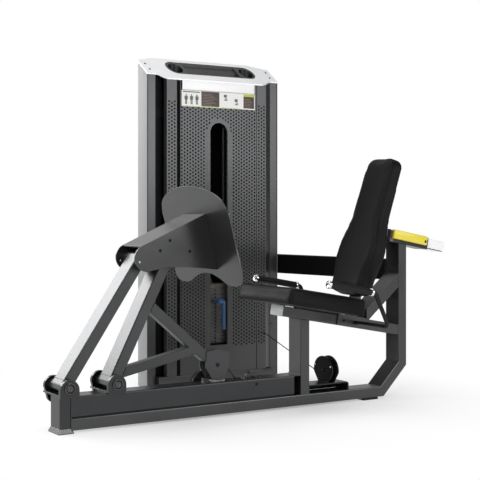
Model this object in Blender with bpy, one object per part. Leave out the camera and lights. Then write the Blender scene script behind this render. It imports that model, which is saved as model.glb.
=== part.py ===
"""Seated leg press: four-bar press linkage, sliding seat and pin-selected weight stack."""
import math

import bmesh
import bpy
from mathutils import Matrix, Vector

# Clearances
GAP = 0.0003
RUN = 0.0005

# Frame tube
TUBE = 0.050
DEEP = 0.100
HALF = DEEP / 2
CORNER = 0.005
SHEET = 0.003
END_LO, END_HI = -0.026, 0.0235
FOOT_TOP = 0.021
LOW_Z = 0.035
LOW_TOP = LOW_Z + TUBE / 2
UPPER_LOW, DECK = 0.065, 0.150
ELBOW_A = 1.638
ELBOW_B = ELBOW_A + 0.127
ELBOW_B_Z = 0.162
COLUMN_FACE = ELBOW_B - TUBE / 2
POST_LO = ELBOW_B - 0.606
POST_HI = POST_LO + TUBE
BEAM_END = POST_LO - 0.037
PAD_LO, PAD_HI = ELBOW_A - 0.112, ELBOW_A - 0.026

# Press linkage, seen along Y as (x, z)
PIVOT_Z = 0.183
FRONT_PIVOT = (0.015, PIVOT_Z)
REAR_PIVOT = (0.229, PIVOT_Z)
CARRIER_FRONT = (0.363, 0.703)
CARRIER_REAR = (0.495, 0.712)
ARM_Y = 0.034
BARREL_R = 0.025
PLATE_NEAR, PLATE_FAR = -0.056, 0.126
PLATE_T = 0.016
BRACKET_BASE = 0.157
PIN_R = 0.0125
CAP_R = 0.024
CARRIER_NEAR, CARRIER_FAR = -0.058, 0.128
CARRIER_T = 0.006
CARRIER_PIN_R = 0.0122
OPEN_PIN_R = 0.010
OPEN_CLEARANCE = 0.006
LOBE_R = 0.057
LEVER_Y = 0.009
FORK_PIVOT = (0.731, 0.225)

# Foot plate: (z, x of its front face) and half outline (half width, z)
PLATE_CURVE = ((0.570, 0.7217), (0.640, 0.7090), (0.700, 0.6963), (0.760, 0.6817),
               (0.820, 0.6654), (0.880, 0.6472), (0.940, 0.6273), (1.020, 0.5979))
PLATE_MID = 0.037
PLATE_HALF = ((0.0, 1.012), (0.065, 1.009), (0.128, 1.000), (0.190, 0.984), (0.235, 0.965),
              (0.268, 0.942), (0.287, 0.914), (0.292, 0.880), (0.287, 0.800), (0.285, 0.742),
              (0.290, 0.680), (0.293, 0.635), (0.287, 0.604), (0.268, 0.587), (0.240, 0.579),
              (0.190, 0.579), (0.160, 0.583), (0.128, 0.598), (0.100, 0.609), (0.070, 0.619),
              (0.035, 0.627), (0.0, 0.629))

# Pulleys and cables
CABLE_R = 0.0025
AXLE_R = 0.006
BORE_R = 0.0068
PULLEY_W = 0.011
FORK_IN = 0.0132
BEAM_PULLEY = (0.917, 0.128)
BEAM_PULLEY_R = 0.045
LEVER_PULLEY_R = 0.041
TRANSFER = (0.735, 0.112)
TRANSFER_Y = 0.085
TRANSFER_R = 0.085
HEAD_PULLEY_R = 0.050
HEAD_PULLEY_Z = 1.480
EXIT_R = 0.033
IDLER_R = 0.040
GROOVE = 0.006
ANCHOR = (0.686, 0.165)
IDLER_IN = 0.015
EXIT = (1.514, 0.797)
EXIT_Z = 0.2865
IDLER = (POST_HI + 0.137, 0.0075)
IDLER_Z = 0.155

# Weight tower
TOWER_LO, TOWER_HI = 0.823, 1.620
POST_W = 0.051
TOWER_FRONT, TOWER_BACK = 0.829, 0.928
GUARD_Y = 0.795
BASE_TOP = 0.055
GUARD_TOP = 1.5777
COVER_T, COVER_SLOPE = 0.008, 0.714
COVER_HIGH = GUARD_TOP + 0.172
TRAY_LOW = GUARD_TOP + GAP
TRAY_Y = 0.8885
CUP_R = 0.040
PANEL_LO, PANEL_HI = 0.997, 1.459
STRIP_W = 0.058
GUARD_BACK = 0.822
REAR_Y = 0.955
STACK_X, STACK_Y = 1.224, 0.875
STACK_LOW = 0.205
PLATES, LIFTED = 16, 4
PITCH = 0.018
ROD_OFF, ROD_R = 0.080, 0.0125
BEAM_LO, BEAM_HI = 1.385, 1.425
HOIST_TOP = 1.360
HEAD_T = 0.025
WINDOW = (1.175, 1.281, 0.199, 1.366)

# Seat
RAIL_SLOPE = 0.1818
RAIL_X, RAIL_Z = ELBOW_B - 0.698, 0.474
SHOE_HI = ELBOW_B - 0.230
SHOE_LO = SHOE_HI - 0.165
SHOE_T = 0.0055
PAD_SLOPE = RAIL_SLOPE
PAD_X = SHOE_HI - 0.554
PAD_Z = RAIL_Z + RAIL_SLOPE * (RAIL_X - PAD_X) + 0.0042
PAD_LEN = 0.434
PAD_HALF = 0.220
PAD_T = 0.080
BOARD_T = 0.010
BACK_FOOT = (SHOE_HI - 0.1084, 0.5229)
BACK_LEAN = 0.3425
BACK_T = 0.086
BACK_LEN = 0.700
STRAP_T = 0.010
GUIDE_X, GUIDE_Z = ELBOW_B - 0.092, 0.814
GUIDE_END = GUIDE_X + 0.367
GUIDE_HALF = 0.040
SLEEVE_LO, SLEEVE_HI = GUIDE_X + 0.022, GUIDE_X + 0.257
SLEEVE_T = 0.006
GRIP_Y = 0.295
GRIP_R = 0.016
HANDLE_R = 0.010

FINISH = {
    "frame_paint": ((0.045, 0.046, 0.048), 0.6, 0.35),
    "silver_paint": ((0.72, 0.73, 0.74), 0.5, 0.35),
    "pin_steel": ((0.35, 0.35, 0.36), 1.0, 0.30),
    "chrome": ((0.85, 0.85, 0.86), 1.0, 0.10),
    "guard_paint": ((0.030, 0.030, 0.032), 0.4, 0.50),
    "tray_plastic": ((0.020, 0.020, 0.021), 0.0, 0.45),
    "foot_rubber": ((0.030, 0.030, 0.031), 0.0, 0.70),
    "pulley_nylon": ((0.055, 0.055, 0.058), 0.0, 0.40),
    "stop_nylon": ((0.60, 0.60, 0.59), 0.0, 0.50),
    "plate_steel": ((0.50, 0.50, 0.51), 0.9, 0.35),
    "cable_jacket": ((0.012, 0.012, 0.012), 0.0, 0.40),
    "knob_plastic": ((0.06, 0.25, 0.55), 0.0, 0.35),
    "pad_vinyl": ((0.012, 0.012, 0.013), 0.0, 0.50),
    "grip_rubber": ((0.018, 0.018, 0.019), 0.0, 0.60),
    "lever_yellow": ((0.85, 0.72, 0.10), 0.0, 0.40),
}


# Building blocks
def paint(name):
    mat = bpy.data.materials.get(name)
    if mat is None:
        colour, metallic, rough = FINISH[name]
        mat = bpy.data.materials.new(name)
        mat.use_nodes = True
        shader = mat.node_tree.nodes["Principled BSDF"]
        shader.inputs["Base Color"].default_value = (*colour, 1.0)
        shader.inputs["Metallic"].default_value = metallic
        shader.inputs["Roughness"].default_value = rough
    return mat


def shape(bm):
    bmesh.ops.recalc_face_normals(bm, faces=bm.faces)
    mesh = bpy.data.meshes.new("solid")
    bm.to_mesh(mesh)
    bm.free()
    obj = bpy.data.objects.new("solid", mesh)
    bpy.context.collection.objects.link(obj)
    return obj


def loft(rings, wrap=False):
    bm = bmesh.new()
    rows = [[bm.verts.new(p) for p in ring] for ring in rings]
    pairs = list(zip(rows, rows[1:]))
    if wrap:
        pairs.append((rows[-1], rows[0]))
    for a, b in pairs:
        for i in range(len(a)):
            j = (i + 1) % len(a)
            bm.faces.new((a[i], a[j], b[j], b[i]))
    if not wrap:
        bm.faces.new(rows[0])
        bm.faces.new(rows[-1])
    return shape(bm)


def put(axis, a, b, h):
    return {"X": (h, a, b), "Y": (a, h, b), "Z": (a, b, h)}[axis]


def prism(outline, lo, hi, axis="Y"):
    return loft([[put(axis, a, b, h) for a, b in outline] for h in (lo, hi)])


def box(x0, x1, y0, y1, z0, z1):
    return prism(((x0, y0), (x1, y0), (x1, y1), (x0, y1)), z0, z1, "Z")


def rounded(wide, deep, radius, steps=2):
    points = []
    for k in range(4):
        sx, sy = ((1, 1), (-1, 1), (-1, -1), (1, -1))[k]
        for i in range(steps + 1):
            t = math.radians(90 * (k + i / steps))
            points.append((sx * (wide / 2 - radius) + radius * math.cos(t),
                           sy * (deep / 2 - radius) + radius * math.sin(t)))
    return points


def arc(centre, radius, start, end, steps):
    angles = [math.radians(start + (end - start) * i / steps) for i in range(steps + 1)]
    return [(centre[0] + radius * math.cos(t), centre[1] + radius * math.sin(t)) for t in angles]


def tube(path, wide, deep, side=(0, 1, 0), radius=CORNER, start=None, end=None):
    points = [Vector(p) for p in path]
    side = Vector(side)
    runs = [(b - a).normalized() for a, b in zip(points, points[1:])]
    rings = []
    for i, point in enumerate(points):
        run = runs[max(i - 1, 0)]
        normal = run
        if i == 0 and start:
            normal = Vector(start)
        elif i == len(runs) and end:
            normal = Vector(end)
        elif 0 < i < len(runs):
            normal = (runs[i - 1] + runs[i]).normalized()
        ring = []
        for a, b in rounded(wide, deep, radius):
            offset = side.cross(run) * a + side * b
            ring.append(point + offset - run * (offset.dot(normal) / run.dot(normal)))
        rings.append(ring)
    return loft(rings)


def turned(profile, centre, axis=(0, 1, 0), seg=24, hollow=False):
    spin = Vector(axis).to_track_quat("Z", "Y").to_matrix()
    rings = []
    for h, r in profile:
        ring = []
        for i in range(seg):
            t = 2 * math.pi * i / seg
            ring.append(Vector(centre) + spin @ Vector((r * math.cos(t), r * math.sin(t), h)))
        rings.append(ring)
    return loft(rings, wrap=hollow)


def cylinder(centre, radius, lo, hi, axis=(0, 1, 0), seg=24):
    return turned(((lo, radius), (hi, radius)), centre, axis, seg)


def across(pivot, radius, y0, y1, seg=24):
    return cylinder((pivot[0], 0, pivot[1]), radius, y0, y1, seg=seg)


def bake(obj):
    graph = bpy.context.evaluated_depsgraph_get()
    mesh = bpy.data.meshes.new_from_object(obj.evaluated_get(graph))
    if obj.type == "CURVE":
        solid = bpy.data.objects.new("solid", mesh)
        bpy.context.collection.objects.link(solid)
        bpy.data.objects.remove(obj, do_unlink=True)
        return solid
    obj.modifiers.clear()
    obj.data = mesh
    return obj


def combine(target, tool, operation):
    mod = target.modifiers.new("boolean", "BOOLEAN")
    mod.operation = operation
    mod.solver = "EXACT"
    mod.object = tool
    bake(target)
    bpy.data.objects.remove(tool, do_unlink=True)


def node(name, finish, solids, cuts=(), extras=(), pivot=None):
    body = solids[0]
    for tool in solids[1:]:
        combine(body, tool, "UNION")
    for tool in cuts:
        combine(body, tool, "DIFFERENCE")
    for tool in extras:
        combine(body, tool, "UNION")
    bm = bmesh.new()
    bm.from_mesh(body.data)
    bmesh.ops.remove_doubles(bm, verts=bm.verts, dist=0.00002)
    bmesh.ops.dissolve_degenerate(bm, edges=bm.edges, dist=0.00002)
    bmesh.ops.recalc_face_normals(bm, faces=bm.faces)
    bm.to_mesh(body.data)
    bm.free()
    body.name = name
    body.data.name = name
    body.data.materials.clear()
    body.data.materials.append(paint(finish))
    if pivot is not None:
        body.data.transform(Matrix.Translation(-Vector(pivot)))
        body.location = pivot
    return body


def wire(points, radius, resolution=2):
    data = bpy.data.curves.new("wire", "CURVE")
    data.dimensions = "3D"
    data.bevel_depth = radius
    data.bevel_resolution = resolution
    data.use_fill_caps = True
    spline = data.splines.new("POLY")
    spline.points.add(len(points) - 1)
    for slot, point in zip(spline.points, points):
        slot.co = (*point, 1.0)
    obj = bpy.data.objects.new("wire", data)
    bpy.context.collection.objects.link(obj)
    return obj


def cable(name, points):
    obj = wire(points, CABLE_R)
    obj.name = name
    obj.data.name = name
    obj.data.materials.append(paint("cable_jacket"))
    return obj


# Geometry helpers
def rail_top(x):
    return RAIL_Z - RAIL_SLOPE * (x - RAIL_X)


def rail_point(x, height):
    scale = math.hypot(1, RAIL_SLOPE)
    return (x + height * RAIL_SLOPE / scale, rail_top(x) + height / scale)


def board_low(x):
    return PAD_Z - PAD_SLOPE * (x - PAD_X)


def guide_top(x):
    return GUIDE_Z - RAIL_SLOPE * (x - GUIDE_X)


def plate_x(z):
    for (z0, x0), (z1, x1) in zip(PLATE_CURVE, PLATE_CURVE[1:]):
        if z <= z1:
            return x0 + (x1 - x0) * (z - z0) / (z1 - z0)
    return PLATE_CURVE[-1][1]


def meet(point, run, anchor, normal):
    point, run, anchor, normal = (Vector(v) for v in (point, run, anchor, normal))
    return point + run * ((anchor - point).dot(normal) / run.dot(normal))


def fillet(points, radius, steps=4):
    out = [Vector(points[0])]
    for a, b, c in zip(points, points[1:], points[2:]):
        a, b, c = Vector(a), Vector(b), Vector(c)
        into, away = (a - b).normalized(), (c - b).normalized()
        back = radius / math.tan(into.angle(away) / 2)
        p, q = b + into * back, b + away * back
        for i in range(steps + 1):
            t = i / steps
            out.append(p * (1 - t) ** 2 + b * (2 * t * (1 - t)) + q * t * t)
    out.append(Vector(points[-1]))
    return out


def belt(start, wheels, end, step=9):
    stops = [(start, 0.0, 1)] + wheels
    if end:
        stops.append((end, 0.0, 1))
    lines = []
    for (c1, r1, s1), (c2, r2, s2) in zip(stops, stops[1:]):
        dx, dz = c2[0] - c1[0], c2[1] - c1[1]
        turn = math.atan2(dz, dx) - math.asin((s2 * r2 - s1 * r1) / math.hypot(dx, dz))
        nx, nz = -math.sin(turn), math.cos(turn)
        lines.append(((c1[0] - s1 * r1 * nx, c1[1] - s1 * r1 * nz),
                      (c2[0] - s2 * r2 * nx, c2[1] - s2 * r2 * nz)))
    points = [lines[0][0]]
    for (centre, radius, sense), before, after in zip(wheels, lines, lines[1:] + [None]):
        a = math.atan2(before[1][1] - centre[1], before[1][0] - centre[0])
        b = a + sense * math.radians(200)
        if after:
            b = math.atan2(after[0][1] - centre[1], after[0][0] - centre[0])
            while sense * (b - a) < 0:
                b += sense * 2 * math.pi
        count = max(2, round(abs(math.degrees(b - a)) / step))
        points += arc(centre, radius, math.degrees(a), math.degrees(b), count)
    if end:
        points.append(end)
    return points


# Base frame
def base_frame():
    guide_run = Vector((1, 0, -RAIL_SLOPE)).normalized()
    rise = Vector((RAIL_SLOPE, 0, 1)).normalized()
    seat = Vector((ELBOW_B, 0, guide_top(ELBOW_B))) - rise * (TUBE + 0.005 + GAP)
    top = meet((ELBOW_B, 0, 0), (0, 0, 1), seat, rise)
    node("lower_frame", "frame_paint", [tube(
        ((END_HI + GAP, 0, LOW_Z), (ELBOW_A, 0, LOW_Z), (ELBOW_B, 0, ELBOW_B_Z), top),
        TUBE, DEEP, end=rise)])
    middle = (END_LO + END_HI) / 2
    node("front_end_tube", "frame_paint", [tube(
        ((middle, 0, FOOT_TOP + GAP), (middle, 0, DECK)), END_HI - END_LO, DEEP)])
    rings = []
    for z, wide, deep in ((0.0, 0.0695, 0.116), (0.004, 0.0695, 0.116), (FOOT_TOP, 0.0515, 0.103)):
        rings.append([(middle + 0.0010 + a, b, z) for a, b in rounded(wide, deep, 0.006)])
    node("front_foot", "foot_rubber", [loft(rings)],
         [box(END_HI, 0.06, -0.08, 0.08, LOW_Z - TUBE / 2 - GAP, 0.03)])
    node("rear_foot_pad", "foot_rubber",
         [box(PAD_LO, PAD_HI, -0.048, 0.048, 0, LOW_Z - TUBE / 2 - GAP)])
    post = rounded(POST_HI - POST_LO, DEEP, CORNER)
    centre = (POST_LO + POST_HI) / 2
    lift = TUBE * math.hypot(1, RAIL_SLOPE) + GAP
    node("seat_post", "frame_paint", [loft([
        [(centre + a, b, LOW_TOP + GAP) for a, b in post],
        [(centre + a, b, rail_top(centre + a) - lift) for a, b in post]])])
    fall = TUBE / 2 * math.hypot(1, RAIL_SLOPE)
    tail = COLUMN_FACE - GAP
    nose = rail_point(RAIL_X, -TUBE / 2)
    node("seat_rail", "frame_paint", [tube(
        ((nose[0], 0, nose[1]), (tail, 0, rail_top(tail) - fall)), TUBE, DEEP, end=(1, 0, 0))])
    lip = Vector((nose[0], 0, nose[1])) - guide_run * GAP
    node("rail_end_cap", "silver_paint", [tube(
        (lip, lip - guide_run * SHEET), TUBE - 0.001, DEEP - 0.001)])
    foot_x, toe_x = tail - 0.1967, tail - 0.1817
    rail = rail_top(tail)
    node("rear_brace", "frame_paint", [prism((
        (foot_x, rail_top(foot_x) + 2 * GAP), (toe_x, rail_top(toe_x) + 2 * GAP),
        (tail, rail + 0.183), (tail, rail + 0.248), (foot_x, rail_top(foot_x) + 0.0475)),
        -HALF, HALF)])
    link_x = TOWER_HI + GAP + TUBE / 2
    node("tower_link", "frame_paint", [tube(
        ((ELBOW_B, HALF + GAP, 0.615), (link_x, 0.850, 0.615), (link_x, 0.905, 0.615)),
        TUBE, 0.102, side=(0, 0, 1), start=(0, 1, 0), end=(0, 1, 0))])


def upper_beam():
    middle = (UPPER_LOW + DECK) / 2
    wheel = BEAM_PULLEY
    slot = box(wheel[0] - 0.088, wheel[0] + 0.053, LEVER_Y - FORK_IN, LEVER_Y + FORK_IN,
               0.076, DECK + 0.02)
    recess = across(wheel, 0.007, -HALF - 0.01, -HALF + 0.004)
    pin = across(wheel, AXLE_R, LEVER_Y - 0.02, LEVER_Y + 0.02)
    boss = turned(((HALF - 0.01, 0.013), (TRANSFER_Y - PULLEY_W - RUN, 0.013),
                   (TRANSFER_Y - PULLEY_W - RUN, AXLE_R), (TRANSFER_Y + PULLEY_W + RUN, AXLE_R),
                   (TRANSFER_Y + PULLEY_W + RUN, 0.010), (TRANSFER_Y + PULLEY_W + 0.004, 0.010)),
                  (TRANSFER[0], 0, TRANSFER[1]))
    lug = box(ANCHOR[0] - 0.014, ANCHOR[0] + 0.014, LEVER_Y - 0.010, LEVER_Y + 0.010,
              DECK - 0.005, ANCHOR[1])
    last = POST_LO - GAP
    node("upper_beam", "frame_paint",
         [tube(((END_HI + GAP, 0, middle), (BEAM_END, 0, middle)), DECK - UPPER_LOW, DEEP),
          box(0.060, BEAM_END - 0.010, -0.040, 0.040, LOW_TOP + GAP, UPPER_LOW + 0.005),
          box(BEAM_END - 0.010, last, -HALF + 0.0005, HALF - 0.0005, DECK - SHEET, DECK - GAP),
          box(BEAM_END - 0.010, last, HALF - SHEET, HALF - GAP, UPPER_LOW + GAP, DECK - 0.001)],
         [slot, recess], [pin, boss, lug])
    node("lever_stop", "stop_nylon", [box(
        0.715, 0.775, LEVER_Y - 0.020, LEVER_Y + 0.020, DECK + GAP, 0.1565)])


# Pivot brackets and pins
def pivot_bracket(name, pivot, middle, half, top):
    low = DECK + GAP
    crown = top - half
    near = arc((middle, crown), half, 0, 180, 12) + [(middle - half, low), (middle + half, low)]
    far = arc((middle, crown), half, 0, 180, 12)
    far += arc((middle, 0.135), 0.030, 180, 360, 8)
    lip = box(middle - half, middle + half, PLATE_NEAR, -HALF - GAP, 0.1445, low + 0.003)
    floor = box(middle - half, middle + half, PLATE_NEAR + 0.001, PLATE_FAR - 0.001,
                low, BRACKET_BASE)
    rib = prism(((HALF + GAP, low + 0.002), (HALF + GAP, 0.110), (PLATE_FAR - PLATE_T + 0.002, 0.125),
                 (PLATE_FAR - PLATE_T + 0.002, low + 0.002)), middle - 0.005, middle + 0.005, "X")
    node(name, "frame_paint",
         [prism(near, PLATE_NEAR, PLATE_NEAR + PLATE_T),
          prism(far, PLATE_FAR - PLATE_T, PLATE_FAR), floor, lip, rib],
         [across(pivot, PIN_R + GAP + 0.0001, PLATE_NEAR - 0.01, PLATE_FAR + 0.01, 32)])


def pivot_pin(name, pivot):
    ends = (PLATE_NEAR - GAP, PLATE_FAR + GAP)
    profile = ((ends[0] - 0.007, 0.021), (ends[0] - 0.005, CAP_R), (ends[0], CAP_R),
               (ends[0], PIN_R), (ends[1], PIN_R), (ends[1], CAP_R),
               (ends[1] + 0.005, CAP_R), (ends[1] + 0.007, 0.021))
    node(name, "pin_steel", [turned(profile, (pivot[0], 0, pivot[1]), seg=32)])


def brackets():
    pivot_bracket("front_pivot_bracket", FRONT_PIVOT, 0.0150, 0.0425, 0.2185)
    pivot_bracket("rear_pivot_bracket", REAR_PIVOT, 0.2268, 0.0412, 0.2230)
    pivot_pin("front_pivot_pin", FRONT_PIVOT)
    pivot_pin("rear_pivot_pin", REAR_PIVOT)


# Press arms, lever and foot carrier
def arm(name, low, high, head_r, head_bore):
    inner = PLATE_NEAR + PLATE_T + 0.0015
    outer = PLATE_FAR - PLATE_T - 0.0015
    hood = (CARRIER_NEAR + CARRIER_T + 0.001, CARRIER_FAR - CARRIER_T - 0.001)
    node(name, "frame_paint",
         [tube(((low[0], ARM_Y, low[1]), (high[0], ARM_Y, high[1])), TUBE, DEEP),
          across(low, BARREL_R, inner, outer, 32), across(high, head_r, *hood, 32)],
         [across(low, PIN_R + RUN, -0.2, 0.3, 32), across(high, head_bore, -0.2, 0.3, 32)],
         pivot=(low[0], 0, low[1]))


def lever():
    run = Vector((CARRIER_REAR[0] - REAR_PIVOT[0], 0, CARRIER_REAR[1] - REAR_PIVOT[1])).normalized()
    right = Vector((run.z, 0, -run.x))
    edge = Vector((REAR_PIVOT[0], LEVER_Y, REAR_PIVOT[1])) + right * (TUBE / 2 + GAP)
    high_run = Vector((0.2665, 0, -0.2285))
    high = meet((0.419, LEVER_Y, 0.485), high_run, edge, right)
    low_run = Vector((0.2375, 0, 0.050))
    low = meet((0.350, LEVER_Y, 0.239), low_run, edge, right)
    top = Vector((0.2285, 0, 0.2665)).normalized()
    join = meet(low, low_run, Vector((0.419, LEVER_Y, 0.485)) - top * 0.016, top)
    fork = ((0.671, 0.217), (0.705, 0.162), (0.763, 0.157), (0.794, 0.221), (0.791, 0.279),
            (0.734, 0.291), (0.677, 0.285))
    inner = TUBE / 2 - 0.0005
    hub = ((-inner - 0.003, 0.011), (-FORK_IN + 0.001, 0.011), (-FORK_IN + 0.001, AXLE_R),
           (FORK_IN - 0.001, AXLE_R), (FORK_IN - 0.001, 0.011), (inner + 0.003, 0.011))
    node("lever_frame", "frame_paint",
         [tube((high, (0.683, LEVER_Y, 0.2587)), 0.044, TUBE, start=right),
          tube((low, join), 0.040, TUBE, start=right, end=top),
          prism(fork, LEVER_Y - inner - CARRIER_T, LEVER_Y - inner),
          prism(fork, LEVER_Y + inner, LEVER_Y + inner + CARRIER_T),
          turned(hub, (FORK_PIVOT[0], LEVER_Y, FORK_PIVOT[1]))],
         pivot=(REAR_PIVOT[0], 0, REAR_PIVOT[1]))


def carrier():
    front = CARRIER_FRONT
    outline = arc(front, LOBE_R, 114, 292, 14)
    outline += [(0.454, 0.663), (0.590, 0.659), (plate_x(0.646) - GAP, 0.646)]
    outline += [(x - GAP, z) for z, x in PLATE_CURVE if 0.65 < z < 0.885]
    outline += [(plate_x(0.889) - GAP, 0.889)]
    top = outline[0], outline[-1]
    hood = (top[0], top[1], (top[1][0], top[1][1] - CARRIER_T), (top[0][0], top[0][1] - CARRIER_T))
    inside = (CARRIER_NEAR + CARRIER_T, CARRIER_FAR - CARRIER_T)
    node("foot_carrier", "frame_paint",
         [prism(outline, CARRIER_NEAR, inside[0]), prism(outline, inside[1], CARRIER_FAR),
          prism(hood, CARRIER_NEAR + 0.001, CARRIER_FAR - 0.001),
          across(front, CARRIER_PIN_R, inside[0] - 0.002, inside[1] + 0.002, 32)],
         [across(CARRIER_REAR, OPEN_PIN_R + GAP, inside[0] - 0.0043, inside[1] + 0.0043)],
         pivot=(front[0], 0, front[1]))
    node("carrier_rear_pin", "pin_steel",
         [across(CARRIER_REAR, OPEN_PIN_R, inside[0] - 0.004, inside[1] + 0.004)],
         pivot=(front[0], 0, front[1]))


def foot_plate():
    section = [(x, z) for z, x in PLATE_CURVE]
    section += [(x + CARRIER_T, z) for z, x in reversed(PLATE_CURVE)]
    slab = prism(section, PLATE_MID - 0.32, PLATE_MID + 0.32)
    right = [(PLATE_MID + w, z) for w, z in PLATE_HALF]
    left = [(PLATE_MID - w, z) for w, z in reversed(PLATE_HALF[1:-1])]
    combine(slab, prism(right + left, 0.5, 0.8, "X"), "INTERSECT")
    node("foot_plate", "frame_paint", [slab], pivot=(CARRIER_FRONT[0], 0, CARRIER_FRONT[1]))


def linkage():
    arm("front_arm", FRONT_PIVOT, CARRIER_FRONT, BARREL_R, CARRIER_PIN_R + RUN)
    arm("rear_arm", REAR_PIVOT, CARRIER_REAR, 0.027, OPEN_PIN_R + OPEN_CLEARANCE)
    lever()
    carrier()
    foot_plate()


# Pulleys and cables
def pulley(name, centre, radius, axis=(0, 1, 0)):
    groove = radius - GROOVE
    profile = ((-PULLEY_W, BORE_R), (-PULLEY_W, radius), (-0.003, groove), (0.003, groove),
               (PULLEY_W, radius), (PULLEY_W, BORE_R))
    node(name, "pulley_nylon", [turned(profile, centre, axis, hollow=True)], pivot=centre)


def track(radius):
    return radius - GROOVE + CABLE_R + GAP


def heading():
    return Vector((IDLER[0] - EXIT[0], IDLER[1] - EXIT[1], 0)).normalized()


def exit_run():
    down = (EXIT[1] - STACK_Y) / -heading().y
    return down, down + track(EXIT_R)


def exit_point(distance, z):
    run = heading()
    return Vector((EXIT[0] + run.x * distance, EXIT[1] + run.y * distance, z))


def idler_reach():
    return math.hypot(IDLER[0] - EXIT[0], IDLER[1] - EXIT[1])


def lower_run(distance, z):
    past = distance - idler_reach()
    if past < -2 * IDLER_R:
        return exit_point(distance, z)
    return Vector((IDLER[0], IDLER[1] - past, z))


def head_pulleys():
    fall = exit_point(exit_run()[0], 0).x
    rim = track(HEAD_PULLEY_R)
    return STACK_X + rim, fall - rim


def pulleys():
    run = heading()
    side = Vector((-run.y, run.x, 0))
    pulley("beam_pulley", (BEAM_PULLEY[0], LEVER_Y, BEAM_PULLEY[1]), BEAM_PULLEY_R)
    pulley("lever_pulley", (FORK_PIVOT[0], LEVER_Y, FORK_PIVOT[1]), LEVER_PULLEY_R)
    pulley("transfer_pulley", (TRANSFER[0], TRANSFER_Y, TRANSFER[1]), TRANSFER_R)
    for name, x in zip(("head_pulley_left", "head_pulley_right"), head_pulleys()):
        pulley(name, (x, STACK_Y, HEAD_PULLEY_Z), HEAD_PULLEY_R)
    pulley("exit_pulley", exit_point(exit_run()[1], EXIT_Z), EXIT_R, side)
    pulley("idler_pulley", (*IDLER, IDLER_Z), IDLER_R, (1, 0, 0))


def cables():
    path = belt((ANCHOR[0], ANCHOR[1] + GAP),
                [(FORK_PIVOT, track(LEVER_PULLEY_R), -1), (BEAM_PULLEY, track(BEAM_PULLEY_R), 1)],
                (0.960, 0.0835))
    cable("press_cable", [(x, LEVER_Y, z) for x, z in path])
    low = STACK_LOW + PLATES * PITCH + GAP + HEAD_T + 0.027 + GAP
    steps = 12
    rise = [low + (HOIST_TOP - low) * i / steps for i in range(steps + 1)]
    cable("hoist_cable", [(STACK_X, STACK_Y, z) for z in rise])
    left, right = head_pulleys()
    rim = track(HEAD_PULLEY_R)
    down, centre = exit_run()
    fall = exit_point(down, 0).x
    over = belt((STACK_X, HOIST_TOP + GAP),
                [((left, HEAD_PULLEY_Z), rim, -1), ((right, HEAD_PULLEY_Z), rim, -1)],
                (fall, 0.9), 10)
    under = belt((down, 0.6), [((centre, EXIT_Z), track(EXIT_R), 1),
                               ((idler_reach(), IDLER_Z), track(IDLER_R), 1)], None, 12)
    cable("tower_cable", [Vector((x, STACK_Y, z)) for x, z in over]
          + [lower_run(s, z) for s, z in under])


def idler_bracket():
    spot = Matrix.Translation((IDLER[0], IDLER[1], IDLER_Z))
    outline = [(1.12 * a, b) for a, b in arc((0, 0), 0.0655, -10, 190, 18)]
    outline += [(-0.040, -0.0555), (0.040, -0.0555)]
    plates = [prism(outline, s * IDLER_IN, s * (IDLER_IN + 0.004), "X") for s in (-1, 1)]
    reach = IDLER_IN + 0.007
    axle = turned(((-reach, AXLE_R), (-PULLEY_W - RUN, AXLE_R + 0.004), (-PULLEY_W - RUN, AXLE_R),
                   (PULLEY_W + RUN, AXLE_R), (PULLEY_W + RUN, AXLE_R + 0.004), (reach, AXLE_R)),
                  (0, 0, 0), (1, 0, 0))
    for obj in plates + [axle]:
        obj.data.transform(spot)
    low, high = 0.094, 0.100
    thick, bend = high - low, 0.014
    start, end = POST_HI + GAP, POST_HI + 0.226
    foot, middle = LOW_TOP + GAP, (end - bend, high - bend)
    deck = [(start, high)] + arc(middle, bend, 90, 0, 6) + [(end, foot), (end - thick, foot)]
    deck += arc(middle, bend - thick, 0, 90, 6) + [(start, low)]
    node("idler_bracket", "frame_paint",
         [prism(deck, -HALF, HALF),
          box(start, end - thick / 2, HALF - 0.004, HALF - GAP, foot, high - thick / 2)]
         + plates + [axle])


# Weight tower
def channel(lo, hi, back):
    return ((lo, GUARD_Y), (hi, GUARD_Y), (hi, back), (hi - SHEET, back),
            (hi - SHEET, GUARD_Y + SHEET), (lo + SHEET, GUARD_Y + SHEET),
            (lo + SHEET, back), (lo, back))


def cover_line(y, drop):
    return GUARD_TOP + GAP + COVER_T + COVER_SLOPE * (y - GUARD_Y) - drop


def slope_cut(drop, x0=TOWER_LO - 0.1, x1=TOWER_HI + 0.1):
    y0, y1, top = GUARD_Y - 0.1, REAR_Y + 0.1, COVER_HIGH + 0.3
    return prism(((y0, cover_line(y0, drop)), (y1, cover_line(y1, drop)), (y1, top), (y0, top)),
                 x0, x1, "X")


def slope_below(drop):
    y0, y1, low = GUARD_Y - 0.1, REAR_Y + 0.1, GUARD_TOP - 0.2
    return prism(((y0, low), (y1, low), (y1, cover_line(y1, drop)), (y0, cover_line(y0, drop))),
                 TOWER_LO - 0.1, TOWER_HI + 0.1, "X")


def under_cover():
    return slope_cut(COVER_T + GAP)


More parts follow.
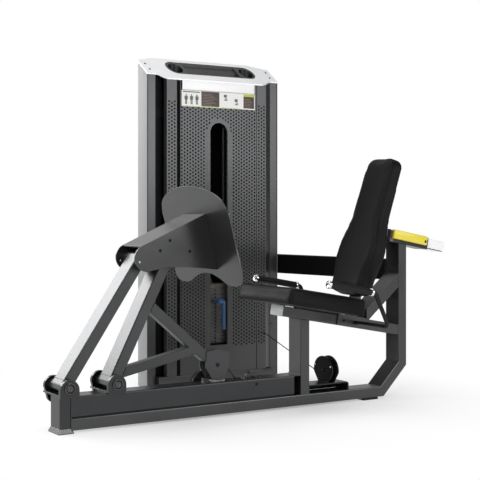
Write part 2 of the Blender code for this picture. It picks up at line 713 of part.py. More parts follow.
def tower_frame():
    middle = (TOWER_FRONT + TOWER_BACK) / 2
    depth = TOWER_BACK - TOWER_FRONT
    left, right = TOWER_LO + POST_W / 2, TOWER_HI - POST_W / 2
    node("tower_column_left", "silver_paint", [tube(
        ((left, middle, 0), (left, middle, COVER_HIGH)), POST_W, depth)], [under_cover()])
    run = heading()
    side = Vector((-run.y, run.x, 0))
    centre = exit_point(exit_run()[1], EXIT_Z)
    stub = ((-PULLEY_W - 0.004, 0.010), (-PULLEY_W - RUN, 0.010), (-PULLEY_W - RUN, AXLE_R),
            (PULLEY_W + RUN, AXLE_R), (PULLEY_W + RUN, 0.009), (0.064, 0.009))
    node("tower_column_right", "silver_paint", [tube(
        ((right, middle, 0), (right, middle, COVER_HIGH)), POST_W, depth),
        turned(stub, centre, side)], [under_cover()])
    inner = (TOWER_LO + POST_W + GAP, TOWER_HI - POST_W - GAP)
    node("tower_base", "guard_paint", [box(*inner, 0.797, TOWER_BACK, 0, BASE_TOP)])
    beam = [box(*inner, 0.845, 0.905, BEAM_LO, BEAM_HI)]
    for x in head_pulleys():
        for s in (-1, 1):
            lo, hi = sorted((STACK_Y + s * FORK_IN, STACK_Y + s * (FORK_IN + 0.004)))
            beam.append(box(x - 0.018, x + 0.018, lo, hi, BEAM_HI - 0.002, 1.500))
        beam.append(cylinder((x, STACK_Y, HEAD_PULLEY_Z), AXLE_R, -0.022, 0.022))
    fall = exit_point(exit_run()[0], 0).x
    holes = [cylinder((x, STACK_Y, 0), 0.007, 1.3, 1.45, (0, 0, 1), 16) for x in (STACK_X, fall)]
    node("head_beam", "guard_paint", beam, holes)
    for name, s in (("guide_rod_left", -1), ("guide_rod_right", 1)):
        node(name, "chrome", [cylinder((STACK_X + s * ROD_OFF, STACK_Y, 0), ROD_R,
                                       BASE_TOP + GAP, BEAM_LO - GAP, (0, 0, 1))])


def tower_skin():
    x0, x1, z0, z1 = WINDOW
    low = BASE_TOP + GAP
    mid, half = (x0 + x1) / 2, (x1 - x0) / 2
    slot = [(x0, z0), (x1, z0)] + arc((mid, z1 - half), half, 0, 180, 14)
    node("front_guard", "guard_paint",
         [prism(channel(PANEL_LO, PANEL_HI, GUARD_BACK), low, COVER_HIGH, "Z")],
         [prism(slot, GUARD_Y - 0.1, GUARD_Y + 0.1), under_cover()])
    left, right = PANEL_LO - 0.021, PANEL_HI + 0.007
    node("guard_strip_left", "guard_paint",
         [prism(channel(left - STRIP_W, left, GUARD_BACK + 0.006), low, COVER_HIGH, "Z")],
         [under_cover()])
    hole = cylinder((EXIT[0], 0, EXIT_Z - 0.0385), 0.006, GUARD_Y - 0.015, GUARD_Y + 0.015)
    node("guard_strip_right", "guard_paint",
         [prism(channel(right, right + STRIP_W, GUARD_BACK - 0.011), low, COVER_HIGH, "Z")],
         [hole, under_cover()])
    back = TOWER_BACK + GAP
    first, last = TOWER_LO + POST_W + 0.038, TOWER_HI - POST_W - 0.065
    rear = ((TOWER_LO, back), (TOWER_LO + POST_W, back), (first, REAR_Y), (last, REAR_Y + 0.0025),
            (TOWER_HI - POST_W, back), (TOWER_HI, back), (TOWER_HI, back + SHEET),
            (last + 0.001, REAR_Y + 0.0055), (first - 0.001, REAR_Y + SHEET), (TOWER_LO, back + SHEET))
    node("rear_guard", "guard_paint", [prism(rear, low, COVER_HIGH, "Z")], [under_cover()])


def tower_top():
    lo, hi, back = TOWER_LO - 0.002, TOWER_HI + 0.002, TOWER_BACK + 0.002
    front = TOWER_FRONT - 0.003
    lip = GUARD_Y - 0.001
    plan = [(lo, front), (lo + 0.052, front), (lo + 0.066, front - 0.006), (lo + 0.084, lip + 0.008),
            (lo + 0.102, lip), (hi - 0.122, lip), (hi - 0.097, lip + 0.006),
            (hi - 0.067, front - 0.006), (hi - 0.048, front), (hi, front), (hi, back),
            (hi - 0.117, REAR_Y + 0.007), (lo + 0.090, REAR_Y + 0.005), (lo, back + 0.002)]
    ends = PANEL_LO + 0.0185, PANEL_HI - 0.0035

    def rounded_slot(size):
        return (arc((ends[0], TRAY_Y), size, 90, 270, 10) + arc((ends[1], TRAY_Y), size, -90, 90, 10))
    size, low, high = 0.0515, TRAY_LOW - 0.1, COVER_HIGH + 0.05
    node("top_cover", "silver_paint", [prism(plan, TRAY_LOW - 0.05, COVER_HIGH, "Z")],
         [slope_cut(0), slope_below(COVER_T), prism(rounded_slot(size), low, high, "Z")])
    inner = (ends[0] + CUP_R + 0.0195, ends[1] - CUP_R - 0.0205)
    shelf, ledge = slope_cut(0.028, *inner), slope_cut(0.014, *inner)
    combine(shelf, box(*ends, TRAY_Y - 0.0405, TRAY_Y + 0.0025, low, high), "INTERSECT")
    combine(ledge, box(*ends, TRAY_Y + 0.0015, TRAY_Y + 0.0415, low, high), "INTERSECT")
    cups = [cylinder((x, TRAY_Y - 0.0025, 0), CUP_R, TRAY_LOW + 0.014, high, (0, 0, 1), 32)
            for x in (ends[0] + 0.0025, ends[1] - 0.0025)]
    node("top_tray", "tray_plastic", [prism(rounded_slot(size - GAP), TRAY_LOW, COVER_HIGH, "Z")],
         [slope_cut(0.001), shelf, ledge] + cups)


def stack_body(low, count):
    rings = []
    for k in range(count):
        base = low + k * PITCH
        for dz, inset in ((0.0, 0.003), (0.0015, 0), (PITCH - 0.0015, 0), (PITCH - 0.0002, 0.003)):
            rings.append([(STACK_X + a, STACK_Y + b, base + dz)
                          for a, b in rounded(0.260 - 2 * inset, 0.100 - 2 * inset, 0.006, 1)])
    return loft(rings)


def stack_holes(low, count):
    tall = (low - 0.01, low + count * PITCH + 0.01)
    cuts = [cylinder((STACK_X + s * ROD_OFF, STACK_Y, 0), ROD_R + 0.001, *tall, (0, 0, 1))
            for s in (-1, 1)]
    cuts.append(cylinder((STACK_X, STACK_Y, 0), 0.0145, *tall, (0, 0, 1)))
    for k in range(count):
        z = low + (k + 0.5) * PITCH
        cuts.append(cylinder((STACK_X, 0, z), 0.0053, 0.80, STACK_Y - 0.004, seg=12))
    return cuts


def weight_stack():
    rest = PLATES - LIFTED
    split = STACK_LOW + rest * PITCH
    top = split + LIFTED * PITCH
    node("stack_buffer", "foot_rubber", [box(
        STACK_X - 0.058, STACK_X + 0.058, 0.835, 0.915, BASE_TOP + GAP, STACK_LOW - GAP)])
    node("resting_plates", "plate_steel", [stack_body(STACK_LOW, rest)],
         stack_holes(STACK_LOW, rest))
    node("lifted_plates", "plate_steel", [stack_body(split + GAP, LIFTED)],
         stack_holes(split + GAP, LIFTED))
    low = top + 2 * GAP
    rod = cylinder((STACK_X, STACK_Y, 0), 0.011, STACK_LOW + 0.005, low + 0.005, (0, 0, 1))
    eye = turned(((low + HEAD_T - 0.002, 0.014), (low + HEAD_T + 0.008, 0.014),
                  (low + HEAD_T + 0.012, 0.007), (low + HEAD_T + 0.0265, 0.007)),
                 (STACK_X, STACK_Y, 0), (0, 0, 1))
    plate = box(STACK_X - 0.130, STACK_X + 0.130, 0.827, 0.923, low, low + HEAD_T)
    cuts = [cylinder((STACK_X + s * ROD_OFF, STACK_Y, 0), ROD_R + 0.001, 0.45, 0.55, (0, 0, 1))
            for s in (-1, 1)]
    for k in range(1, PLATES):
        z = STACK_LOW + (k + 0.5) * PITCH
        cuts.append(cylinder((STACK_X, STACK_Y, z), 0.0053, -0.02, 0.02, seg=10))
    node("head_plate", "plate_steel", [plate, rod, eye], cuts)
    pin_z = split + GAP + PITCH / 2
    shaft = turned(((0.774, 0.010), (0.777, 0.012), (0.790, 0.012), (0.795, 0.007),
                    (0.812, 0.007), (0.812, 0.0045), (0.888, 0.0045)), (STACK_X, 0, pin_z))
    hook = fillet(((STACK_X + 0.004, 0.783, pin_z), (STACK_X + 0.034, 0.783, pin_z + 0.004),
                   (STACK_X + 0.036, 0.783, pin_z - 0.150)), 0.020, 5)
    node("selector_pin", "knob_plastic", [shaft, bake(wire(hook, 0.010, 3))])


# Seat
def cushion(name, frame, length, half, thick, crown, stations, end_r, pivot, cuts=()):
    rings = []
    for s in stations:
        edge = min(s, length - s)
        draw = end_r - math.sqrt(max(end_r ** 2 - max(end_r - edge, 0) ** 2, 0))
        wide, tall = half(s) - draw * 0.6, thick(s) - draw
        side = [(wide - 0.012, 0.0), (wide - 0.003, 0.005), (wide - 0.001, tall * 0.28),
                (wide - 0.0045, tall * 0.36), (wide, tall * 0.44), (wide - 0.001, tall * 0.62),
                (wide - 0.007, tall - 0.011), (wide - 0.020, tall - 0.002),
                (wide * 0.60, tall + crown * 0.62), (wide * 0.25, tall + crown * 0.94)]
        ring = side + [(-a, t) for a, t in reversed(side)]
        rings.append([frame @ Vector((s, a, t)) for a, t in ring])
    node(name, "pad_vinyl", [loft(rings)], cuts, pivot=pivot)


def basis(origin, along, normal):
    along, normal = Vector(along).normalized(), Vector(normal).normalized()
    turn = Matrix((along, (0, 1, 0), normal)).transposed().to_4x4()
    return Matrix.Translation(origin) @ turn


def table(knots):
    def at(s):
        for (a, x), (b, y) in zip(knots, knots[1:]):
            if s <= b:
                return x + (y - x) * (s - a) / (b - a)
        return knots[-1][1]
    return at


def corner(length, radius, shape_at):
    def at(s):
        edge = min(s, length - s)
        return shape_at(s) - radius + math.sqrt(max(radius ** 2 - max(radius - edge, 0) ** 2, 0))
    return at


def seat_pads(pivot):
    along, normal = (1, 0, -PAD_SLOPE), (PAD_SLOPE, 0, 1)
    low = basis((PAD_X, 0, PAD_Z), along, normal)

    def board(grow, floor):
        lo, hi, half = 0.012 - grow, PAD_LEN - 0.022 + grow, PAD_HALF - 0.020 + grow
        flat = [(lo, -half), (hi, -half), (hi, half), (lo, half)]
        return loft([[low @ Vector((s, a, t)) for s, a in flat] for t in (floor, BOARD_T + grow)])
    node("seat_board", "tray_plastic", [board(0, 0)], pivot=pivot)
    stations = [0, 0.003, 0.008, 0.016, 0.030, 0.060, 0.12, 0.18, 0.24, 0.30, 0.36,
                0.404, 0.418, 0.426, 0.431, PAD_LEN]
    half = corner(PAD_LEN, 0.030, lambda s: PAD_HALF)
    thick = table(((0, PAD_T - 0.006), (0.09, PAD_T), (PAD_LEN, PAD_T)))
    cushion("seat_pad", low, PAD_LEN, half, thick, 0.009, stations, 0.014, pivot,
            [board(GAP, -0.005)])


def back_frame_line(z, offset):
    scale = math.hypot(1, BACK_LEAN)
    return BACK_FOOT[0] + BACK_LEAN * (z - BACK_FOOT[1]) + offset * scale


def back_pad(pivot):
    along, normal = Vector((BACK_LEAN, 0, 1)).normalized(), Vector((-1, 0, BACK_LEAN)).normalized()
    origin = Vector((BACK_FOOT[0], 0, BACK_FOOT[1])) - normal * BACK_T
    frame = basis(origin, along, normal)
    width = table(((0, 0.116), (0.084, 0.128), (0.144, 0.140), (0.194, 0.150), (0.224, 0.150),
                   (0.274, 0.138), (0.324, 0.121), (0.374, 0.112), (0.454, 0.109), (BACK_LEN, 0.106)))
    stations = [0, 0.003, 0.008, 0.016, 0.032, 0.06, 0.09, 0.12, 0.15, 0.175, 0.20, 0.225, 0.25,
                0.275, 0.30, 0.325, 0.35, 0.39, 0.43, 0.50, 0.57]
    stations = [s for s in stations if s < BACK_LEN - 0.06]
    stations += [BACK_LEN - d for d in (0.055, 0.040, 0.027, 0.017, 0.010, 0.005, 0.002, 0)]
    upper = corner(2 * BACK_LEN, 0.012, width)

    def half(s):
        rim = 0.050
        over = max(s - BACK_LEN + rim, 0)
        return upper(s) - rim + math.sqrt(max(rim ** 2 - over ** 2, 0) + 1e-9)
    thick = table(((0, BACK_T - 0.006), (BACK_LEN, BACK_T - 0.020)))
    cushion("back_pad", frame, BACK_LEN, half, thick, 0.006, stations, 0.014, pivot)


def seat_carriage(pivot):
    solids = []
    for lo, hi in ((-HALF - SHOE_T - RUN, -HALF - RUN), (HALF + RUN, HALF + RUN + SHOE_T)):
        solids.append(prism((rail_point(SHOE_LO, -TUBE), rail_point(SHOE_HI, -TUBE),
                             rail_point(SHOE_HI, 0.002), rail_point(SHOE_LO, 0.002)), lo, hi))
    wide = HALF + RUN + SHOE_T - 0.0005
    first, last = SHOE_LO + 0.0006, SHOE_HI - 0.0006
    solids.append(prism((rail_point(first, RUN), rail_point(last, RUN),
                         rail_point(last, 0.0035), rail_point(first, 0.0035)), -wide, wide))
    lo, hi = PAD_X + 0.039, PAD_X + 0.449
    solids.append(prism(((lo, board_low(lo) - SHEET), (hi, board_low(hi) - SHEET),
                         (hi, board_low(hi) - GAP), (lo, board_low(lo) - GAP)), -HALF, HALF))
    step = SHOE_LO + 0.006
    solids.append(prism((rail_point(step, 0.002), rail_point(hi - 0.004, 0.002),
                         (hi - 0.004, board_low(hi - 0.004) - 0.001),
                         (step, board_low(step) - 0.001)), -0.046, 0.046))
    foot = rail_point(SHOE_HI - 0.057, 0.002)[1]
    head = BACK_FOOT[1] + 0.711 * BACK_LEN
    heel = SHOE_HI - 0.007
    rear = BACK_T + GAP
    solids.append(prism(((back_frame_line(foot, rear), foot), (back_frame_line(head, rear), head),
                         (back_frame_line(head, rear + STRAP_T), head),
                         (back_frame_line(foot, rear + STRAP_T), foot)), -HALF + 0.010,
                        HALF - 0.010))
    solids.append(prism((rail_point(heel - 0.044, 0.002), rail_point(heel, 0.002),
                         (heel, rail_top(heel) + 0.020),
                         (back_frame_line(0.52, rear + STRAP_T - 0.001), 0.520)), -0.005, 0.005))
    node("seat_carriage", "frame_paint", solids, pivot=pivot)


def handles(pivot):
    run = Vector((1, 0, -RAIL_SLOPE)).normalized()
    for name, s in (("left", 1), ("right", -1)):
        start = Vector((SHOE_HI - 0.395, s * GRIP_Y, 0.5785))
        end = start + run * 0.262
        low = SHOE_HI - 0.065
        path = fillet((start, end, (low, s * (GRIP_Y + 0.005), 0.375),
                       (low, s * (HALF + RUN + SHOE_T + GAP), 0.375)), 0.022, 5)
        cap = turned(((-0.010, 0.014), (-0.008, 0.0175), (0.002, 0.018), (0.002, 0.0085),
                      (0.006, 0.0085)), start, run, 24)
        collar = cylinder(start, 0.018, 0.233, 0.244, run)
        node("handle_" + name, "chrome", [bake(wire(path, HANDLE_R, 3)), cap, collar],
             pivot=pivot)
        sleeve = ((0.0025, HANDLE_R + 0.001), (0.0025, GRIP_R), (0.232, GRIP_R),
                  (0.232, HANDLE_R + 0.001))
        node("grip_" + name, "grip_rubber", [turned(sleeve, start, run, 24, True)], pivot=pivot)


def guide(pivot):
    run = Vector((1, 0, -RAIL_SLOPE)).normalized()
    rise = Vector((RAIL_SLOPE, 0, 1)).normalized()
    axis = Vector((GUIDE_X, 0, GUIDE_Z)) - rise * (TUBE / 2)
    normal = Vector((1, 0, -BACK_LEAN)).normalized()
    rear = Vector((back_frame_line(0.8, BACK_T + STRAP_T + 2 * GAP), 0, 0.8))
    nose = meet(axis, run, rear, normal)
    tail = meet(axis, run, (GUIDE_END, 0, 0), (1, 0, 0))
    node("guide_bar", "silver_paint", [tube((nose, tail), TUBE, 2 * GUIDE_HALF, start=normal,
                                            radius=0.004)], pivot=pivot)
    lo = meet(axis, run, (SLEEVE_LO, 0, 0), (1, 0, 0))
    hi = meet(axis, run, (SLEEVE_HI, 0, 0), (1, 0, 0))
    shift = rise * -0.00075
    wide = 2 * (GUIDE_HALF + RUN + SLEEVE_T)
    outer = tube((lo + shift, hi + shift), TUBE + 0.0085, wide, radius=0.003)
    inner = tube((lo - run * 0.01, hi + run * 0.01), TUBE + 2 * RUN, 2 * (GUIDE_HALF + RUN),
                 radius=0.003)
    hinge = axis + run * 0.232 + rise * 0.004
    near = -wide / 2
    stub = cylinder((hinge.x, 0, hinge.z), 0.005, near - 0.022, near + 0.003)
    node("guide_sleeve", "frame_paint", [outer], [inner], [stub])
    lift = rise * 0.009
    tip = hinge + run * 0.014 - rise * 0.004
    paddle = tube((tip - run * 0.217 + lift, tip + lift), 0.044, 0.020, radius=0.005)
    paddle.data.transform(Matrix.Translation((0, near - GAP - 0.010, 0)))
    node("adjuster_paddle", "lever_yellow", [paddle],
         [across((hinge.x, hinge.z), 0.0058, near - 0.05, near + 0.02)],
         pivot=(hinge.x, 0, hinge.z))


def seat():
    pivot = (SHOE_HI, 0, rail_top(SHOE_HI))
    seat_carriage(pivot)
    seat_pads(pivot)
    back_pad(pivot)
    handles(pivot)
    guide(pivot)


def main():
    for obj in list(bpy.data.objects):
        bpy.data.objects.remove(obj, do_unlink=True)
    base_frame()
    upper_beam()
    brackets()
    linkage()
    pulleys()
    cables()
    idler_bracket()
    tower_frame()
    tower_skin()
    tower_top()
    weight_stack()
    seat()


main()
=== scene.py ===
import math

import bmesh
import bpy
from mathutils import Matrix, Vector


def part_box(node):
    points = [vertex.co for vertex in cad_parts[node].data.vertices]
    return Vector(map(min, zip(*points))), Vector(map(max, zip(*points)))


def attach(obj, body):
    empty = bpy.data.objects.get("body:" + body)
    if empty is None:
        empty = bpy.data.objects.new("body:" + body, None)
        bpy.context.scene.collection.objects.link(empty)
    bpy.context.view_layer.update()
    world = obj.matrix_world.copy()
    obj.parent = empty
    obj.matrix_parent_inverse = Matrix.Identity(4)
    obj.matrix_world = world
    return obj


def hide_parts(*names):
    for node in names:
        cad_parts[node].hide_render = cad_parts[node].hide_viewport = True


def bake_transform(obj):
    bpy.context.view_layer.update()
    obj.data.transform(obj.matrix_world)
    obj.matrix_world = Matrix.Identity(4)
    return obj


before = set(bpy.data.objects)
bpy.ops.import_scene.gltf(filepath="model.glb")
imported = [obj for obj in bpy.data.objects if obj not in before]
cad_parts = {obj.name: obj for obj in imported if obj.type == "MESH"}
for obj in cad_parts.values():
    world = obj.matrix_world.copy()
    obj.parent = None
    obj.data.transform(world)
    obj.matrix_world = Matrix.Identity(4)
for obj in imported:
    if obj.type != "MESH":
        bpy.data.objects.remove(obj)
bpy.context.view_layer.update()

# Studio. The machine stands on a pale floor against white. A large soft lamp stands
# behind it on the left, two light it from the camera's side, and one from above.
scene = bpy.context.scene
scene.view_settings.view_transform = "Standard"


def placed(name, data):
    obj = bpy.data.objects.new(name, data)
    scene.collection.objects.link(obj)
    return obj


lens = bpy.data.cameras.new("view")
lens.lens = 84.2
lens.sensor_width = 36.0
lens.shift_y = -0.0592
lens.clip_end = 60.0
camera = placed("view", lens)
camera.location = (-1.812, -4.266, 0.900)
camera.rotation_euler = (math.radians(90.0), 0.0, math.radians(-32.07))
scene.camera = camera


def lamp(name, spot, aim, wide, high, watts):
    data = bpy.data.lights.new(name, "AREA")
    data.shape = "RECTANGLE"
    data.size = wide
    data.size_y = high
    data.energy = watts
    obj = placed(name, data)
    obj.location = spot
    obj.rotation_euler = (Vector(aim) - Vector(spot)).to_track_quat("-Z", "Y").to_euler()


lamp("rear_box", (-1.30, 3.90, 2.35), (0.20, 0.05, 0.45), 3.0, 2.2, 112.0)
lamp("side_box", (2.80, -3.00, 1.65), (1.20, 0.00, 0.95), 2.8, 1.5, 46.0)
lamp("front_box", (-2.4, -3.3, 3.3), (0.9, 0.3, 0.9), 2.4, 2.4, 105.0)
lamp("top_box", (0.9, 0.4, 4.3), (0.9, 0.4, 0.0), 3.2, 2.4, 42.0)


def fill(node, inputs):
    for key, source in inputs.items():
        if isinstance(source, bpy.types.NodeSocket):
            node.id_data.links.new(source, node.inputs[key])
        else:
            node.inputs[key].default_value = source


def add(tree, kind, inputs={}, **settings):
    node = tree.nodes.new("ShaderNode" + kind)
    for key, value in settings.items():
        setattr(node, key, value)
    fill(node, inputs)
    return node


def measure(tree, kind, first, second):
    return add(tree, "VectorMath", {0: first, 1: second}, operation=kind).outputs["Value"]


def ramp(tree, source, low=0.0, high=1.0, bottom=0.0, top=1.0):
    return add(tree, "MapRange", {"Value": source, "From Min": low, "From Max": high,
                                  "To Min": bottom, "To Max": top}).outputs["Result"]


world = bpy.data.worlds.new("studio")
world.use_nodes = True
scene.world = world
tree = world.node_tree
toward = add(tree, "TexCoord").outputs["Generated"]
rear_left = Vector((-0.52, 0.80, 0.30)).normalized()
bright = ramp(tree, measure(tree, "DOT_PRODUCT", toward, rear_left), -0.10, 0.90, 0.16, 1.0)
ray = add(tree, "LightPath").outputs["Is Camera Ray"]
direct = add(tree, "Mix", {0: ray, 2: bright, 3: 1.0})
fill(tree.nodes["Background"], {"Color": (1.0, 1.0, 1.0, 1.0), "Strength": direct.outputs[0]})


def meshed(bm, name):
    mesh = bpy.data.meshes.new(name)
    bm.to_mesh(mesh)
    bm.free()
    return mesh


bm = bmesh.new()
bmesh.ops.create_circle(bm, cap_ends=True, segments=96, radius=14.0)
floor = placed("studio_floor", meshed(bm, "studio_floor"))
pale = bpy.data.materials.new("pale_floor")
pale.use_nodes = True
tree = pale.node_tree
shader = tree.nodes["Principled BSDF"]
fill(shader, {"Base Color": (0.93, 0.93, 0.93, 1.0), "Roughness": 0.9, "Specular IOR Level": 0.1})
away = measure(tree, "DISTANCE", add(tree, "TexCoord").outputs["Object"], (0.9, 0.3, 0.0))
blend = add(tree, "MixShader", {0: ramp(tree, away, 0.5, 1.5, 0.34, 1.0), 1: shader.outputs[0],
                                2: add(tree, "Emission").outputs[0]})
fill(tree.nodes["Material Output"], {"Surface": blend.outputs[0]})
floor.data.materials.append(pale)


# Base frame. Two rectangular steel tubes lie on each other, the lower one bent up behind the
# seat as a column. It is welded and powder coated in a dark metallic grey; the upper beam, the
# brackets and the cable deck carry darker copies of that paint, and the tower link a near-black
# one, as painted shade. It stands on a moulded foot cap, lightened as a painted highlight, and
# rubber pads.
def mixed(tree, factor, first, second):
    return add(tree, "Mix", {0: factor, 6: first, 7: second}, data_type="RGBA").outputs[2]


def roughened(tree, height, strength, distance):
    node = add(tree, "Bump", {"Height": height, "Strength": strength, "Distance": distance})
    fill(tree.nodes["Principled BSDF"], {"Normal": node.outputs["Normal"]})
    return node


def shade(colour, gain, lift=0.0):
    return (*[min(c * gain + lift, 1.0) for c in colour], 1.0)


def coat(name, colour, rough, metal=0.0, tone=0.10, cloud=6.0, grain=1400.0, bump=0.10,
         deep=0.0002, edge=0.0, clear=0.0, shine=0.5, squeeze=(1.0, 1.0, 1.0)):
    mat = bpy.data.materials.new(name)
    mat.use_nodes = True
    tree = mat.node_tree
    place = add(tree, "TexCoord").outputs["Object"]
    turn = add(tree, "Mapping", {"Vector": place, "Scale": squeeze}).outputs["Vector"]
    slow, fine = [add(tree, "TexNoise", {"Vector": turn, "Scale": scale, "Detail": detail}
                      ).outputs["Fac"] for scale, detail in ((cloud, 5.0), (grain, 2.0))]
    both = add(tree, "Math", {0: fine, 1: 0.35, 2: slow}, operation="MULTIPLY_ADD")
    patch = ramp(tree, both.outputs[0], 0.40, 0.95)
    final = mixed(tree, patch, shade(colour, 1 - tone), shade(colour, 1 + tone))
    gloss = ramp(tree, patch, 0.0, 1.0, rough * 0.86, min(rough * 1.14, 1.0))
    skin = roughened(tree, fine, bump, deep)
    # Edges found by the Bevel node are mixed towards a lighter colour: a painted highlight along
    # the edges.
    if edge:
        edge_normal = add(tree, "Bevel", {"Radius": 0.0016}, samples=4).outputs["Normal"]
        fill(skin, {"Normal": edge_normal})
        flat = add(tree, "NewGeometry").outputs["True Normal"]
        rim = ramp(tree, measure(tree, "DOT_PRODUCT", edge_normal, flat), 0.999, 0.90, 0.0, edge)
        final = mixed(tree, rim, final, shade(colour, 2.2, 0.02))
    fill(tree.nodes["Principled BSDF"], {
        "Base Color": final, "Roughness": gloss, "Metallic": metal, "Coat Weight": clear,
        "Coat Roughness": 0.12, "Specular IOR Level": shine})
    return mat


def dress(material, *names):
    for name in names:
        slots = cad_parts[name].data.materials
        slots.clear()
        slots.append(material)


def piece(name, bm, body, material, smooth=35.0):
    mesh = meshed(bm, name)
    obj = placed(name, mesh)
    mesh.materials.append(material)
    if smooth:
        mesh.polygons.foreach_set("use_smooth", [True] * len(mesh.polygons))
        mesh.set_sharp_from_angle(angle=math.radians(smooth))
    if body:
        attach(obj, body)
    return obj


def gather(parts):
    whole = bmesh.new()
    for part in parts:
        mesh = meshed(part, "part")
        whole.from_mesh(mesh)
        bpy.data.meshes.remove(mesh)
    return whole


def sealed(bm):
    bmesh.ops.remove_doubles(bm, verts=bm.verts, dist=1e-6)
    bmesh.ops.recalc_face_normals(bm, faces=bm.faces)
    return bm


def settled(obj):
    return bpy.data.meshes.new_from_object(
        obj.evaluated_get(bpy.context.evaluated_depsgraph_get()))


def rod(points, radius, resolution=3, cyclic=False, radii=None):
    data = bpy.data.curves.new("rod", "CURVE")
    data.dimensions = "3D"
    data.bevel_depth = radius
    data.bevel_resolution = resolution
    data.use_fill_caps = True
    spline = data.splines.new("POLY")
    spline.points.add(len(points) - 1)
    for knot, point, thick in zip(spline.points, points, radii or [1.0] * len(points)):
        knot.co = (*point, 1.0)
        knot.radius = thick
    spline.use_cyclic_u = cyclic
    obj = placed("rod", data)
    mesh = settled(obj)
    bm = bmesh.new()
    bm.from_mesh(mesh)
    bpy.data.objects.remove(obj)
    bpy.data.curves.remove(data)
    bpy.data.meshes.remove(mesh)
    return sealed(bm)


frame_paint = coat("frame_powder_coat", (0.074, 0.075, 0.077), 0.29, metal=0.80, edge=0.5)
dress(frame_paint, "lower_frame", "seat_post", "seat_rail", "rear_brace")
# The upper beam, brackets, cable deck and tower link use darker copies of the frame paint: painted
# shade.
dress(coat("beam_painted_shade_coat", (0.048, 0.049, 0.051), 0.30, metal=0.80, edge=0.5),
      "front_end_tube", "upper_beam")
dress(coat("bracket_painted_shade_coat", (0.046, 0.047, 0.048), 0.24, metal=0.85, edge=0.9),
      "front_pivot_bracket", "rear_pivot_bracket")
dress(coat("deck_painted_shade_coat", (0.034, 0.035, 0.036), 0.32, metal=0.80, edge=0.3),
      "idler_bracket")
dress(coat("link_painted_shade_coat", (0.0022, 0.0022, 0.0024), 0.50, metal=0.2, shine=0.12),
      "tower_link")
# The foot cap's colour is lightened to carry the highlight on its flared face: painted highlight.
dress(coat("foot_cap_painted_highlight", (0.130, 0.131, 0.133), 0.24, metal=0.7, tone=0.08, grain=900.0,
           edge=0.4), "front_foot")
dress(coat("pad_rubber", (0.006, 0.006, 0.006), 0.75, tone=0.2, grain=500.0, bump=0.3,
           shine=0.3), "rear_foot_pad", "stack_buffer")
dress(coat("stop_nylon", (0.52, 0.52, 0.50), 0.45, tone=0.05, grain=700.0), "lever_stop")
dress(coat("rail_cap_silver", (0.30, 0.305, 0.31), 0.38, metal=0.5, edge=0.3), "rail_end_cap")


# Welds. A small bead runs round each joint between two tubes, laid in short overlapping
# ripples and painted over with the frame.
def weld(corners, radius=0.0021, cyclic=False):
    points, ripple = [], 0.0040
    ring = [Vector(c) for c in corners]
    if cyclic:
        ring.append(ring[0])
    for a, b in zip(ring, ring[1:]):
        count = max(2, round((b - a).length / ripple))
        points += [a.lerp(b, i / count) for i in range(count)]
    if not cyclic:
        points.append(ring[-1])
    radii = [1.0 if i % 2 else 0.72 for i in range(len(points))]
    return rod(points, radius, 1, cyclic, radii)


post_front, post_back, column = 1.1585, 1.2095, 1.7397
beads = [weld([(post_front, -0.0505, 0.0605), (post_back, -0.0505, 0.0605),
               (post_back, 0.0505, 0.0605), (post_front, 0.0505, 0.0605)], cyclic=True),
         weld([(post_front, -0.0450, 0.4050), (post_front, 0.0450, 0.4050)]),
         weld([(post_back, -0.0450, 0.3955), (post_back, 0.0450, 0.3955)]),
         weld([(post_front, -0.0495, 0.1503), (post_front, 0.0495, 0.1503),
               (post_front, 0.0505, 0.066)]),
         weld([(column, -0.0503, 0.535), (column, -0.0503, 0.600), (column, 0.0503, 0.600),
               (column, 0.0503, 0.535)]),
         weld([(1.543, -0.0503, 0.389), (1.558, -0.0503, 0.386)]),
         weld([(1.739, 0.0506, 0.565), (1.739, 0.0506, 0.665), (1.791, 0.0506, 0.665),
               (1.791, 0.0506, 0.565)], cyclic=True),
         weld([(0.672, -0.001, 0.1505), (0.672, 0.019, 0.1505), (0.700, 0.019, 0.1505),
               (0.700, -0.001, 0.1505)], 0.0016, True)]
for y in (-0.0503, 0.0503):
    beads += [weld([(0.0237, y, 0.012), (0.0237, y, 0.150)], 0.0012),
              weld([(column, y, 0.352), (column, y, 0.302)])]
piece("frame_welds", gather(beads), "frame", frame_paint, 60.0)


# Beam pocket. The upper beam stops short of the seat post. Near-black sheets paint the shade
# inside the open pocket between them, in the seam between the beams and under the cable deck.
def block(x0, x1, y0, y1, z0, z1, edge=0.0008, segments=2):
    bm = bmesh.new()
    bmesh.ops.create_cube(bm, size=1.0)
    for v in bm.verts:
        v.co = (x0 + (v.co.x + 0.5) * (x1 - x0), y0 + (v.co.y + 0.5) * (y1 - y0),
                z0 + (v.co.z + 0.5) * (z1 - z0))
    if edge:
        bmesh.ops.bevel(bm, geom=bm.edges[:], offset=edge, offset_type="OFFSET",
                        segments=segments, profile=0.5, affect="EDGES", material=-1)
    return bm


def slabs(*rows):
    return [block(*row, edge=0.0) for row in rows]


